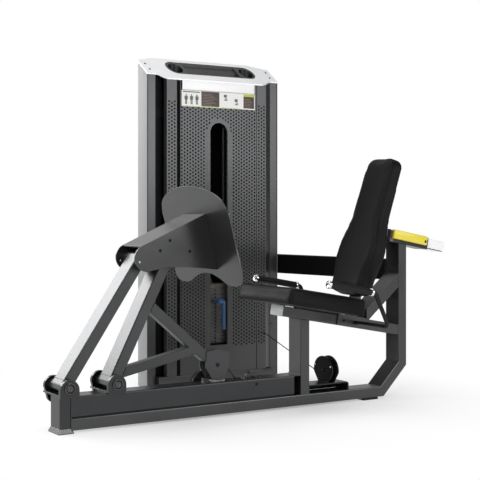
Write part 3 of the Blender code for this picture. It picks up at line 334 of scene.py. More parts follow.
painted_shade_black = coat("painted_shade_black_coat", (0.006, 0.006, 0.0065), 0.55, metal=0.2, shine=0.3)
beam_end, post_face = 1.122, 1.159
pocket = slabs((beam_end + 0.0002, beam_end + 0.0008, -0.0490, 0.0450, 0.0660, 0.1465),
               (post_face - 0.0010, post_face - 0.0004, -0.0490, 0.0450, 0.0610, 0.1465),
               (beam_end + 0.0010, post_face - 0.0012, 0.0452, 0.0458, 0.0660, 0.1465),
               (beam_end + 0.0010, post_face - 0.0012, -0.0485, 0.0450, 0.1458, 0.1464),
               (beam_end - 0.0090, post_face - 0.0012, -0.0485, 0.0485, 0.0604, 0.0610),
               (0.0245, beam_end - 0.002, -0.0485, -0.0465, 0.0603, 0.0647),
               (0.0245, beam_end - 0.002, 0.0465, 0.0485, 0.0603, 0.0647),
               (1.2100, 1.4200, 0.0450, 0.0456, 0.0605, 0.0935),
               (1.2100, 1.4200, -0.0480, 0.0445, 0.0930, 0.0936))
piece("beam_pocket_painted_shade", gather(pocket), "frame", painted_shade_black, 0)


# Pivot pins. Each arm turns on a steel pin between two bracket plates. Its ends carry turned
# caps with a raised rim and a raised middle, and a near-black ring paints the shade in the
# groove between them.
def moved(bm, matrix):
    bmesh.ops.transform(bm, matrix=matrix, verts=bm.verts)
    return bm


def along(centre, axis):
    turn = Vector(axis).to_track_quat("Z", "Y").to_matrix().to_4x4()
    return Matrix.Translation(centre) @ turn


def lathe(profile, centre, axis=(0, 1, 0), steps=48, closed=False):
    bm = bmesh.new()
    chain = [bm.verts.new((r, 0.0, h)) for h, r in profile]
    edges = [bm.edges.new(pair) for pair in zip(chain, chain[1:])]
    if closed:
        edges.append(bm.edges.new((chain[-1], chain[0])))
    bmesh.ops.spin(bm, geom=chain + edges, cent=(0, 0, 0), axis=(0, 0, 1),
                   angle=math.tau, steps=steps, use_merge=True)
    return moved(sealed(bm), along(centre, axis))


pin_steel = coat("oiled_pin_steel", (0.085, 0.085, 0.088), 0.26, metal=0.85, tone=0.18,
                 cloud=40.0, grain=900.0, squeeze=(1.0, 0.2, 1.0))
front_pivot, rear_pivot = (0.015, 0.183), (0.229, 0.183)
near, far, shank = -0.0563, 0.1263, 0.0125
cap = [(0.0, 0.0240), (0.0040, 0.0240), (0.0056, 0.0228), (0.0060, 0.0210), (0.0056, 0.0188),
       (0.0036, 0.0178), (0.0034, 0.0152), (0.0050, 0.0142), (0.0066, 0.0124), (0.0068, 0.0060),
       (0.0058, 0.0048), (0.0057, 0.0)]
groove = [(0.0028, 0.0150), (0.0028, 0.0182), (0.0042, 0.0182), (0.0042, 0.0150)]
for name, (x, z) in (("front_pivot_pin", front_pivot), ("rear_pivot_pin", rear_pivot)):
    outline = [(near - h, r) for h, r in reversed(cap)] + [(near, shank), (far, shank)]
    outline += [(far + h, r) for h, r in cap]
    pin = piece(name + "_turned", lathe(outline, (x, 0, z)), "frame", pin_steel)
    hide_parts(name)
    piece(name + "_groove", lathe(groove, (x, near, z), (0, -1, 0), closed=True), "frame",
          painted_shade_black)


# Press arms and lever. Two parallel arms of rectangular tube carry the foot carrier, and
# the rear one drives a braced lever with a pulley fork. Barrels are welded to the arms' ends,
# and two bolts hold the pulley's axle in the fork.
dress(frame_paint, "front_arm", "rear_arm")
dress(coat("lever_powder_coat", (0.058, 0.059, 0.061), 0.46, metal=0.40, edge=0.3, shine=0.3),
      "lever_frame")
dress(pin_steel, "carrier_rear_pin")
arm_y, barrel = 0.034, 0.0215
for arm, pivot, top in (("front_arm", front_pivot, (0.363, 0.703)),
                        ("rear_arm", rear_pivot, (0.495, 0.712))):
    run = Vector((top[0] - pivot[0], 0, top[1] - pivot[1])).normalized()
    side = Vector((run.z, 0, -run.x))
    base = Vector((pivot[0], arm_y, pivot[1])) + run * barrel
    loop = [base + side * (s * 0.0252) + Vector((0, t * 0.0502, 0))
            for s, t in ((-1, -1), (1, -1), (1, 1), (-1, 1))]
    piece(arm + "_weld", weld(loop, 0.0019, True), arm, frame_paint, 60.0)

dark_bolt = coat("black_oxide_bolt", (0.020, 0.020, 0.021), 0.32, metal=0.8, tone=0.15,
                 grain=1200.0)
dull_bolt = coat("dull_black_bolt", (0.0035, 0.0035, 0.0037), 0.55, tone=0.15, grain=1200.0,
                 shine=0.2)
bright_bolt = coat("zinc_bolt", (0.62, 0.62, 0.63), 0.22, metal=1.0, tone=0.08, grain=1200.0)


def bolt(spot, way, radius, high=0.0035, socket=0.45):
    deep, hole = high * 0.55, radius * socket
    head = [(-0.001, 0.0), (-0.001, radius), (0.0, radius), (deep, radius),
            (high, radius * 0.80), (high, hole), (high - deep, hole), (high - deep, 0.0)]
    return lathe(head, spot, way, 20)


def fasten(name, heads, body, material):
    piece(name, gather(heads), body, material)


lever_y = 0.009
lever_hub = Vector((0.731, lever_y, 0.225))
fasten("fork_hub_bolts", [bolt(lever_hub + Vector((0, s * 0.0305, 0)), (0, s, 0), 0.0085, 0.0045)
                          for s in (-1, 1)], "rear_arm", dark_bolt)


# Foot carrier. Two laser cut plates under a folded hood carry the foot plate. Button head
# bolts fix the inner stiffener, and a bright screw locks the front pin in each plate.
carrier_paint = coat("carrier_powder_coat", (0.078, 0.079, 0.081), 0.24, metal=0.84, edge=0.6)
dress(carrier_paint, "foot_carrier")
cheek_near, cheek_far = -0.058, 0.128
fasten("carrier_bolts", [bolt((x, y, z), (0, s, 0), 0.0064, 0.0016)
                         for x, z in ((0.473, 0.777), (0.426, 0.734), (0.570, 0.729))
                         for y, s in ((cheek_near, -1), (cheek_far, 1))],
       "foot_carriage", dull_bolt)
fasten("carrier_lock_screws", [bolt((0.329, y, 0.688), (0, s, 0), 0.0046, 0.0016, 0.3)
                               for y, s in ((cheek_near, -1), (0.122, -1), (cheek_far, 1))],
       "foot_carriage", bright_bolt)


# Foot plate. One large plate of 6 mm steel, rolled to a shallow curve and cut with a wide
# shouldered outline and an arched foot, coated like the carrier.
def between(knots, s):
    for (a, x), (b, y) in zip(knots, knots[1:]):
        if s <= b:
            t = (s - a) / (b - a)
            return x + (y - x) * t
    return knots[-1][1]


def eased(knots, s):
    step = 0.010
    return (between(knots, max(knots[0][0], s - step)) + 2 * between(knots, s)
            + between(knots, min(knots[-1][0], s + step))) / 4


def facing(bm, way):
    bmesh.ops.recalc_face_normals(bm, faces=bm.faces)
    if sum(f.normal.dot(Vector(way)) for f in bm.faces) < 0:
        bmesh.ops.reverse_faces(bm, faces=bm.faces)


curve = ((0.570, 0.7217), (0.640, 0.7090), (0.700, 0.6963), (0.760, 0.6817),
         (0.820, 0.6654), (0.880, 0.6472), (0.940, 0.6273), (1.020, 0.5979))
crown = ((0.0, 1.012), (0.065, 1.009), (0.128, 1.000), (0.190, 0.984), (0.235, 0.965),
         (0.268, 0.942), (0.283, 0.920), (0.292, 0.880))
arch = ((0.0, 0.629), (0.035, 0.627), (0.070, 0.619), (0.100, 0.609), (0.128, 0.598),
        (0.160, 0.583), (0.190, 0.579), (0.240, 0.579), (0.268, 0.587), (0.285, 0.601),
        (0.292, 0.630))
waist = ((0.57, 0.2925), (0.635, 0.2925), (0.680, 0.290), (0.742, 0.286), (0.800, 0.287),
         (0.880, 0.2915), (1.02, 0.2915))
plate_y, plate_half, plate_thick = 0.037, 0.2915, 0.0058
bm = bmesh.new()
bmesh.ops.create_grid(bm, x_segments=72, y_segments=44, size=1.0)
for v in bm.verts:
    u, t = v.co.x, (v.co.y + 1) / 2
    u = math.copysign(math.sin(abs(u) * math.pi / 2) ** 0.9, u)
    reach = abs(u) * plate_half
    low, high = eased(arch, reach), eased(crown, reach)
    z = low + (high - low) * t
    v.co = (eased(curve, z) + 0.0001, plate_y + u * between(waist, z), z)
facing(bm, (-1, 0, 0))
bmesh.ops.solidify(bm, geom=bm.faces[:], thickness=plate_thick)
plate = piece("foot_plate_rolled", bm, "foot_carriage", carrier_paint, 40.0)
rounding = plate.modifiers.new("edge", "BEVEL")
rounding.width = 0.0012
rounding.segments = 2
rounding.limit_method = "ANGLE"
rounding.angle_limit = math.radians(50)
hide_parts("foot_plate")


# Pulleys. Each is turned from dark glass filled nylon with a grooved rim, a thinner web with
# six ribs and a steel bearing, which turns on a bolt. The idler runs between two arched black
# plates held apart by four screws.
nylon = coat("pulley_nylon", (0.018, 0.018, 0.019), 0.30, tone=0.12, grain=1100.0, bump=0.08,
             clear=0.3)
bearing = coat("bearing_steel", (0.60, 0.60, 0.61), 0.20, metal=1.0, tone=0.06, grain=1500.0)


def pulley(node, body, radius, axis=(0, 1, 0), centre=None):
    if centre is None:
        low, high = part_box(node)
        centre = (low + high) / 2
    half, web, bore = 0.0108, 0.0045, 0.0070
    groove, rim = radius - 0.006, radius - 0.0125
    outline = [(-half, bore + 0.006), (-half, bore + 0.0095), (-web, bore + 0.012),
               (-web, rim - 0.002), (-half, rim), (-half, radius - 0.0012),
               (-half + 0.0012, radius), (-0.0030, groove), (-0.0015, groove - 0.0004)]
    outline += [(-h, r) for h, r in reversed(outline)]
    parts = [lathe(outline, (0, 0, 0), (0, 0, 1), 64, closed=True)]
    for k in range(6):
        rib = block(bore + 0.011, rim + 0.001, -0.0013, 0.0013, -0.0085, 0.0085, 0.0)
        parts.append(moved(rib, Matrix.Rotation(k * math.tau / 6, 4, "Z")))
    wheel = moved(gather(parts), along(centre, axis))
    obj = piece(node + "_wheel", wheel, body, nylon)
    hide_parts(node)
    race = [(-0.0105, bore), (-0.0105, bore + 0.0062), (0.0105, bore + 0.0062), (0.0105, bore)]
    piece(node + "_bearing", lathe(race, centre, axis, 40, closed=True), body, bearing)
    return centre


beam_hub = Vector((0.917, lever_y, 0.128))
pulley("lever_pulley", "lever_wheel", 0.041, centre=lever_hub)
pulley("beam_pulley", "beam_wheel", 0.045, centre=beam_hub)
pulley("transfer_pulley", "transfer_wheel", 0.085, centre=Vector((0.735, 0.085, 0.112)))
pulley("head_pulley_left", "head_wheel_left", 0.050)
pulley("head_pulley_right", "head_wheel_right", 0.050)
pulley("exit_pulley", "exit_wheel", 0.033, (0.978101, -0.208133, 0.0))
idler = pulley("idler_pulley", "idler_wheel", 0.040, (1, 0, 0))
dome = [(0.0734 * math.cos(math.radians(a)), 0.0655 * math.sin(math.radians(a)))
        for a in range(-10, 191, 5)] + [(-0.040, -0.0540), (0.040, -0.0540)]
skins = []
for s in (-1, 1):
    bm = bmesh.new()
    face = bm.faces.new([bm.verts.new(idler + Vector((s * 0.0191, a, b))) for a, b in dome])
    bmesh.ops.inset_individual(bm, faces=[face], thickness=0.0012, depth=0.0)
    facing(bm, (s, 0, 0))
    bmesh.ops.solidify(bm, geom=bm.faces[:], thickness=0.0005)
    skins.append(bm)
piece("idler_plates", gather(skins), "frame",
      coat("idler_plate_coat", (0.0026, 0.0026, 0.0028), 0.48, shine=0.08), 30.0)
fasten("idler_axle_bolts", [bolt(idler + Vector((s * 0.0220, 0, 0)), (s, 0, 0), 0.0080, 0.0040)
                            for s in (-1, 1)], "frame", dark_bolt)
fasten("idler_spacer_screws",
       [bolt(idler + Vector((s * 0.0196, y, 0.020)), (s, 0, 0), 0.0048, 0.0022, 0.3)
        for s in (-1, 1) for y in (-0.060, 0.060)], "frame", bright_bolt)
fasten("beam_axle_bolt", [bolt((beam_hub.x, -0.0462, beam_hub.z), (0, -1, 0), 0.0088, 0.0030)],
       "frame", dull_bolt)


# Cables. Steel cable in a smooth black jacket. The press cable runs round the lever and beam
# pulleys, the hoist cable rises straight above the stack, and the third runs to the idler.
def resample(points, step):
    out = []
    for a, b in zip(points, points[1:]):
        count = max(1, math.ceil((b - a).length / step))
        out += [a.lerp(b, i / count) for i in range(count)]
    return out + [points[-1]]


def touch(first, second):
    (a, ra), (b, rb) = first, second
    run = b - a
    turn = math.atan2(run.y, run.x) - math.asin((rb - ra) / run.length)
    away = Vector((-math.sin(turn), math.cos(turn)))
    return a - away * ra, b - away * rb


jacket = coat("cable_jacket", (0.007, 0.007, 0.008), 0.34, grain=700.0, bump=0.2, shine=0.3)
cable_radius, arc_steps = 0.0025, 24
stops = [(Vector(c), r) for c, r in (((0.686, 0.1653), 0.0), (lever_hub.xz, -0.0378),
                                      (beam_hub.xz, 0.0418), ((0.960, 0.0835), 0.0))]
lines = [touch(a, b) for a, b in zip(stops, stops[1:])]
path = [lines[0][0]]
for (centre, radius), before, after in zip(stops[1:], lines, lines[1:]):
    first, last = before[1] - centre, after[0] - centre
    start = math.degrees(math.atan2(first.y, first.x))
    swing = math.degrees(first.angle_signed(last))
    if (radius > 0) == (swing > 0):
        swing -= math.copysign(360, swing)
    for i in range(arc_steps + 1):
        t = math.radians(start - swing * i / arc_steps)
        path.append(Vector((centre.x + abs(radius) * math.cos(t),
                            centre.y + abs(radius) * math.sin(t))))
path.append(lines[-1][1])
press = rod(resample([Vector((v.x, lever_y, v.y)) for v in path], 0.0015), cable_radius)
cord = piece("press_cable_run", press, None, jacket, 180.0)
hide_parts("press_cable")
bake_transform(cord)

stack_x, stack_y = 1.224, 0.875
low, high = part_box("hoist_cable")
rise = [Vector((stack_x, stack_y, low.z + (high.z - low.z) * i / 160)) for i in range(161)]
cord = piece("hoist_cable_run", rod(rise, cable_radius), None, jacket, 180.0)
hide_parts("hoist_cable")
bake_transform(cord)
dress(jacket, "tower_cable")


# Weight tower frame. Two dark columns with silver side covers stand on a cabinet base and
# carry the head beam, with near-black sheets inside them as painted shade. Ground rods guide
# the stack between them, and bright screws hold the rear guard.
guard_y, guard_top, slope = 0.795, 1.5777, 0.714


def cover_line(y):
    return guard_top + slope * (y - guard_y)


def sloped(bm, lift=0.0005):
    for v in bm.verts:
        if v.co.z > 1.0:
            v.co.z = cover_line(v.co.y) - lift
    return bm


def tall_sheet(x0, x1, y0, y1, edge=0.0):
    return sloped(block(x0, x1, y0, y1, 0.056, 1.6, edge))


silver = coat("silver_powder_coat", (0.27, 0.275, 0.28), 0.58, metal=0.10, tone=0.05, edge=0.2,
              shine=0.3)
column_grey = coat("column_powder_coat", (0.076, 0.077, 0.079), 0.30, metal=0.75, edge=0.4)
guard_black_and_painted_shade = coat("guard_black_and_shade_coat", (0.0040, 0.0040, 0.0042), 0.55, metal=0.2, shine=0.2)
dress(column_grey, "tower_column_left", "tower_column_right")
dress(guard_black_and_painted_shade, "head_beam", "rear_guard")
dress(frame_paint, "tower_base")
dress(coat("ground_rod_steel", (0.030, 0.030, 0.032), 0.34, metal=0.8, tone=0.06, grain=900.0),
      "guide_rod_left", "guide_rod_right")
covers = [sloped(block(x, x + 0.0016, 0.8285, 0.9288, 0.001, 1.6, 0.0005), 0.0)
          for x in (0.8212, 1.6202)]
piece("tower_side_covers", gather(covers), "frame", silver)
# Near-black sheets on the inner faces of the tower: painted shade.
inner = [tall_sheet(0.8742, 0.8752, 0.831, 0.927, 0.0003),
         block(0.880, 1.563, 0.953, 0.9545, 0.056, 1.577, 0.0003),
         block(0.8745, 1.5685, 0.8300, 0.9540, 0.0554, 0.0560, 0.0),
         tall_sheet(0.8745, 0.9175, 0.8500, 0.8510),
         tall_sheet(0.9765, 0.9967, 0.8090, 0.8100)]
piece("tower_inner_painted_shade", gather(inner), "frame", guard_black_and_painted_shade)
fasten("rear_guard_screws", [bolt((x, y, z), (turn, 1, 0), 0.0060, 0.0024, 0.35)
                             for x, y, turn in ((0.845, 0.9380, -0.303), (1.5915, 0.9386, 0.256))
                             for z in (0.12, 0.46, 0.80, 1.14, 1.48)], "frame", bright_bolt)
trim_left = 1.5246
trim = block(trim_left, 1.5684, 0.0, 0.0010, 0.0556, 1.6, 0.0)
for v in trim.verts:
    v.co.y += 0.7985 + 0.65 * (v.co.x - trim_left)
piece("tower_corner_trim", sloped(trim), "frame", column_grey, 0)


# Front guards. The middle panel and two narrow strips are sheet steel, folded at the sides and
# punched with staggered rows of round holes, with a near-black sheet behind them that paints the
# shade seen through the holes. A flat rim follows the hand window, and a folded kick plate
# closes the foot of the tower.
def extruded(bm, edges):
    grown = bmesh.ops.extrude_edge_only(bm, edges=edges)["geom"]
    return [[part for part in grown if isinstance(part, kind)]
            for kind in (bmesh.types.BMVert, bmesh.types.BMEdge)]


def punched(lines, wanted, gone, front, back, sheet=0.0015):
    low, high, rows = 0.0556, 1.5772, 164
    land, radius = 0.0036, 0.0053
    bm = bmesh.new()
    bmesh.ops.create_grid(bm, x_segments=len(lines) - 1, y_segments=rows, size=0.5)
    place = {}
    for v in bm.verts:
        i, j = round((v.co.x + 0.5) * (len(lines) - 1)), round((v.co.y + 0.5) * rows)
        place[v] = (i, j)
        v.co = (lines[i], front, low + (high - low) * j / rows)
    joints = []
    for edge in bm.edges:
        (a, j), (b, k) = place[edge.verts[0]], place[edge.verts[1]]
        if j == k and 0 < j < rows and (min(a, b) + j) % 2:
            joints.append(edge)
    bmesh.ops.dissolve_edges(bm, edges=joints, use_verts=False)
    cells = [(f, f.calc_center_bounds()) for f in bm.faces]
    bmesh.ops.delete(bm, geom=[f for f, c in cells if gone(c.x, c.z)], context="FACES")
    holed = [f for f, c in cells if f.is_valid and len(f.verts) == 6 and wanted(c.x, c.z)]
    bmesh.ops.inset_individual(bm, faces=holed, thickness=land, use_even_offset=True)
    mark = bm.verts.layers.float_vector.new("hole")
    rims = set()
    for f in holed:
        centre = f.calc_center_bounds()
        for v in f.verts:
            v[mark] = centre
        rims.update(f.edges)
    bmesh.ops.delete(bm, geom=holed, context="FACES_ONLY")
    bmesh.ops.subdivide_edges(bm, edges=list(rims), cuts=1)
    for v in bm.verts:
        centre = v[mark]
        if centre.length > 0.01:
            v.co = centre + (v.co - centre).normalized() * radius
    for x in (lines[0], lines[-1]):
        sides = [e for e in bm.edges
                 if e.is_boundary and all(abs(v.co.x - x) < 1e-6 for v in e.verts)]
        fresh = extruded(bm, sides)[0]
        bmesh.ops.translate(bm, vec=(0, back - front, 0), verts=fresh)
        for v in fresh:
            if v.co.z > high - 1e-4:
                v.co.z += slope * (back - front)
    facing(bm, (0, -1, 0))
    bmesh.ops.solidify(bm, geom=bm.faces[:], thickness=sheet)
    return bm


left, right, sill, crest = 1.175, 1.281, 0.199, 1.366
middle, half = (left + right) / 2, (right - left) / 2


def in_window(x, z, grow=0.0092):
    if sill - grow < z < crest - half:
        return abs(x - middle) < half + grow
    return math.hypot(x - middle, z - crest + half) < half + grow and z > crest - half


def nowhere(x, z):
    return False


guard_paint = coat("guard_grey_coat", (0.080, 0.081, 0.083), 0.34, metal=0.70)
hole_pitch, holes_from = 0.0165, 0.19
lines = [0.997 + hole_pitch * i for i in range(29)]
panel = punched(lines, lambda x, z: holes_from < z < 1.440 and not in_window(x, z, 0.0215),
                in_window, guard_y, 0.822)
panel = piece("front_guard_punched", panel, "frame", guard_paint, 0)
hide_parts("front_guard")
piece("front_guard_seam", tall_sheet(1.4592, 1.4658, 0.7980, 0.7990), "frame", guard_paint,
      0)
piece("front_guard_painted_shade_backing", punched(lines, nowhere, in_window, 0.7985, 0.8000, 0.0004),
      "frame", guard_black_and_painted_shade, 0)
for node, start, back in (("guard_strip_left", 0.918, 0.828),
                          ("guard_strip_right", 1.466, 0.811)):
    lines = [start, *[start + 0.00425 + hole_pitch * i for i in range(4)], start + 0.058]
    strip = punched(lines, lambda x, z: (holes_from < z < 1.467
                                         and abs(x - start - 0.029) < 0.022),
                    nowhere, guard_y, back)
    strip = piece(node + "_punched", strip, "frame", guard_paint, 0)
    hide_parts(node)
    # Near-black sheet behind the strip's holes: painted shade.
    liner = block(start + 0.002, start + 0.056, 0.7985, 0.7990, 0.056, 1.5770, 0.0)
    piece(node + "_backing", liner, "frame", guard_black_and_painted_shade, 0)


def stadium(grow, y):
    bottom = sill - grow
    points = [(middle - half - grow, y, bottom), (middle + half + grow, y, bottom)]
    for i in range(25):
        t = math.pi * i / 24
        points.append((middle + (half + grow) * math.cos(t), y,
                       crest - half + (half + grow) * math.sin(t)))
    return points


rim_wide, rim_face = 0.019, 0.7942
bm = bmesh.new()
ring = [bm.verts.new(p) for p in stadium(rim_wide, 0.7948)]
border = [bm.edges.new(pair) for pair in zip(ring, ring[1:] + ring[:1])]
for grow, y in ((rim_wide, rim_face), (0.0, rim_face), (0.0, 0.8085)):
    spots = [v.co.copy() for v in ring]
    fresh, border = extruded(bm, border)
    ring = [min(fresh, key=lambda v: (v.co - spot).length) for spot in spots]
    for v, point in zip(ring, stadium(grow, y)):
        v.co = point
facing(bm, (0, -1, 0))
piece("hand_window_rim", bm, "frame", guard_paint, 30.0)
plinth = [block(0.8745, 1.5685, 0.7945, 0.7968, 0.002, 0.0545),
          block(1.415, 1.549, 0.7925, 0.7947, 0.004, 0.0530)]
piece("tower_kick_plate", gather(plinth), "frame", guard_paint)


# Header and placard. A bare white band sits under the cover, with a dark gap round it. Below
# it a printed metal placard shows plain exercise figures and blocks of short bars in place
# of words.
def printed(name, colour, rough=0.40, tone=0.05):
    return coat(name, colour, rough, tone=tone, grain=500.0, bump=0.03)


sheet_back = 0.7946
band = block(1.008, 1.4485, 0.7915, sheet_back, 1.5300, 1.5772)
piece("header_band", band, "frame", printed("header_white", (0.94, 0.94, 0.94), 0.30, 0.02))
under = slabs((1.0045, 1.4520, 0.7928, sheet_back, 1.5285, 1.5306),
              (1.0010, 1.0075, 0.7928, sheet_back, 1.5285, 1.5768))
piece("header_shadow_line", gather(under), "frame", guard_black_and_painted_shade, 0)


def tiles(name, rows, depth, material):
    parts = slabs(*[(x0, x1, depth, sheet_back, z0, z1) for x0, x1, z0, z1 in rows])
    piece(name, gather(parts), "frame", material, 0)


tiles("placard_sheet", [(1.004, 1.452, 1.444, 1.5285)], 0.7936,
      printed("placard_white", (0.80, 0.80, 0.78), 0.35, 0.02))
tiles("placard_blocks", [(1.1210, 1.2300, 1.4500, 1.5260), (1.3800, 1.4470, 1.4500, 1.5120)],
      0.7932, printed("placard_brown", (0.035, 0.016, 0.013), tone=0.10))
tiles("placard_trims", [(1.1210, 1.2300, 1.4460, 1.4500), (1.3800, 1.4490, 1.5120, 1.5250),
                        (1.0070, 1.1160, 1.4455, 1.4475), (1.2400, 1.3600, 1.4455, 1.4475)],
      0.7931, printed("placard_lime", (0.46, 0.50, 0.03)))
bars = []
for count, left_edge, wide, step, jump, turns in ((8, 1.1260, 0.096, 0.0080, 5, 7),
                                                  (6, 1.3840, 0.058, 0.0085, 3, 5)):
    for k in range(count):
        z = 1.4560 + step * k
        length = wide * (0.62 + 0.36 * ((k * jump) % turns) / turns)
        bars.append((left_edge, left_edge + length, z, z + 0.0020))
tiles("placard_bars", bars, 0.7929, printed("placard_tan", (0.25, 0.18, 0.15)))
marks = [(1.010, 1.112, 1.5175, 1.5225)]
for x in (1.030, 1.062, 1.094):
    marks += [(x - 0.0035, x + 0.0035, 1.5000, 1.5070), (x - 0.0065, x + 0.0065, 1.4780, 1.4985)]
    for s in (-1, 1):
        marks += [(x + s * 0.0085 - 0.0010, x + s * 0.0085 + 0.0010, 1.4800, 1.4980),
                  (x + s * 0.00325 - 0.00225, x + s * 0.00325 + 0.00225, 1.4560, 1.4780)]
for x, z in ((1.268, 1.4900), (1.335, 1.4700)):
    marks += [(x - 0.010, x + 0.008, z + 0.012, z + 0.026), (x - 0.003, x, z, z + 0.012),
              (x - 0.008, x + 0.012, z - 0.005, z), (x + 0.004, x + 0.010, z + 0.002, z + 0.008)]
tiles("placard_marks", marks, 0.7930, printed("placard_ink", (0.07, 0.09, 0.06)))


# Top cover. A moulded silver cover slopes to the front, and a black tray in it, with two
# cup wells lined near-black as painted shade, holds bottles and small things. Four screws fix
# it to the columns.
tray_black = coat("tray_plastic", (0.020, 0.020, 0.021), 0.38, grain=1200.0, bump=0.15,
                  edge=0.6)
dress(coat("cover_silver", (0.80, 0.81, 0.82), 0.34, metal=0.25, tone=0.04, edge=0.3),
      "top_cover")
dress(tray_black, "top_tray")
wells = []
for x in (1.018, 1.453):
    well = lathe([(1.5922, 0.0), (1.5922, 0.0397), (1.7, 0.0397), (1.7, 0.0390),
                  (1.5930, 0.0390), (1.5930, 0.0)], (x, 0.886, 0), (0, 0, 1))
    for v in well.verts:
        if v.co.z > 1.65:
            v.co.z = cover_line(v.co.y) + 0.0045
    wells.append(well)
piece("cup_well_painted_shade", gather(wells), "frame",
      coat("cup_well_shade_black", (0.0030, 0.0030, 0.0032), 0.42, tone=0.12, grain=1200.0,
           shine=0.35))
tilt = Vector((0, -slope, 1)).normalized()
fasten("cover_screws", [bolt((x, y, cover_line(y) + 0.0087), tilt, 0.0052, 0.0020)
                        for x, y in ((0.849, 0.904), (0.853, 0.858), (1.594, 0.904),
                                     (1.590, 0.858))], "frame", dull_bolt)


# Weight stack. Sixteen ground steel plates with bevelled edges lie on each other and slide
# on the rods, coloured dark as painted shade of the tower's inside, with a pin hole in each
# drawn as a black disc of painted shade. A head plate carries the selector rod, and a label
# is stuck to the front of the lifted ones.
plate_painted_shade_grey = coat("plate_painted_shade_grey", (0.088, 0.088, 0.084), 0.42, metal=0.55, tone=0.14, cloud=18.0,
                  grain=500.0, squeeze=(0.25, 1.0, 5.0), edge=0.4)
pitch = 0.018


def stack(name, node, body, base, count):
    rises = [base + k * pitch for k in range(count)]
    parts = [block(stack_x - 0.130, stack_x + 0.130, stack_y - 0.050, stack_y + 0.050,
                   z, z + pitch - 0.0004, 0.0016) for z in rises]
    obj = piece(name, gather(parts), body, plate_painted_shade_grey, 40.0)
    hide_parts(node)
    # Black discs on the plates' fronts for the pin holes: painted shade.
    holes = [lathe([(0.0, 0.0), (0.0, 0.0052), (0.0006, 0.0052), (0.0006, 0.0)],
                   (stack_x, 0.8244, z + pitch / 2), (0, 1, 0), 16) for z in rises]
    piece(name + "_holes", gather(holes), body, guard_black_and_painted_shade)


stack("resting_stack", "resting_plates", "frame", 0.205, 12)
stack("lifted_stack_plates", "lifted_plates", "lifted_stack", 0.4213, 4)
dress(plate_painted_shade_grey, "head_plate")
tag = block(stack_x - 0.048, stack_x - 0.010, 0.8258, 0.8268, 0.4975, 0.5140, 0.0003)
piece("stack_label", tag, "lifted_stack",
      coat("stack_label", (0.15, 0.10, 0.04), 0.45, grain=400.0))


# Selector pin. A steel shaft in a blue moulded knob picks the load. A blue handle with a dark
# tip hangs from the knob on a bend, and a dark red mark shows the plate where the pin starts.
def bend(points, radius, steps=8):
    out = [Vector(points[0])]
    for a, b, c in zip(points, points[1:], points[2:]):
        a, b, c = Vector(a), Vector(b), Vector(c)
        into, away = (a - b).normalized(), (c - b).normalized()
        back = radius / math.tan(into.angle(away) / 2)
        p, q = b + into * back, b + away * back
        out += [p * (1 - t) ** 2 + b * (2 * t * (1 - t)) + q * t * t
                for t in (i / steps for i in range(steps + 1))]
    return out + [Vector(points[-1])]


pin_z, handle_y = 0.4303, 0.783
blue = coat("blue_moulding", (0.012, 0.072, 0.190), 0.36, grain=900.0, clear=0.2)
shaft = lathe([(0.790, 0.0), (0.790, 0.0044), (0.884, 0.0044), (0.888, 0.0025), (0.888, 0.0)],
              (stack_x, 0, pin_z), steps=24)
piece("selector_shaft", shaft, "selector", bearing)
head = lathe([(0.7735, 0.0), (0.7735, 0.0085), (0.7755, 0.0115), (0.7900, 0.0120),
              (0.7940, 0.0085), (0.8110, 0.0075), (0.8110, 0.0)], (stack_x, 0, pin_z), steps=40)
piece("selector_knob", head, "selector", blue)
mark = block(stack_x - 0.026, stack_x - 0.010, 0.8236, 0.8248, pin_z - 0.0070, pin_z + 0.0070,
             0.0003)
piece("start_plate_mark", mark, "lifted_stack",
      coat("dark_red_knob", (0.022, 0.005, 0.006), 0.35, grain=900.0))
way = resample(bend(((stack_x - 0.006, handle_y, pin_z), (stack_x + 0.026, handle_y, pin_z + 0.004),
                     (stack_x + 0.028, handle_y, pin_z - 0.150)), 0.022), 0.006)
shares = [i / len(way) for i in range(len(way))]
radii = [1.0 - 0.22 * s + 0.65 * max(0.0, 1 - 3.2 * s) for s in shares]
radii[0], radii[-1] = 1.1, 0.6
hook = piece("selector_handle", rod(way, 0.0102, 6, radii=radii), "selector", blue,
             50.0)
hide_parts("selector_pin")
tip = lathe([(0.0, 0.0), (0.0, 0.0045), (0.006, 0.0040), (0.008, 0.0)], way[-1], (0, 0, -1), 20)
piece("selector_handle_tip", tip, "selector", dark_bolt)


# Seat carriage and rail. The seat hangs on a folded steel shoe that slides on the rail, with
# a strap behind the back pad. Cross bolts clamp its side plates, a light strip runs along its
# lower edge, and the seat board lies on it.
rail_slope, seat_front = 0.1818, 0.981
dress(frame_paint, "seat_carriage")
bar_white = coat("guide_bar_light", (0.88, 0.88, 0.88), 0.30, metal=0.10, tone=0.02, edge=0.2)
dress(coat("seat_board_black", (0.015, 0.015, 0.016), 0.5, grain=500.0), "seat_board")
fasten("carriage_bolts", [bolt((x, s * 0.0560, z), (0, s, 0), 0.0065)
                          for x, z in ((1.402, 0.388), (1.505, 0.369)) for s in (-1, 1)],
       "seat_unit", dark_bolt)
strip = block(1.0700, 1.1170, -0.0512, -0.0502, 0.0015, 0.0060, 0.0003)
for v in strip.verts:
    v.co.z += 0.4845 - rail_slope * (v.co.x - seat_front)
piece("carriage_edge_strip", strip, "seat_unit", bar_white, 0)
fasten("carriage_plug", [bolt((1.1300, -0.0510, 0.4590), (0, -1, 0), 0.0060, 0.0020)],
       "seat_unit", dark_bolt)


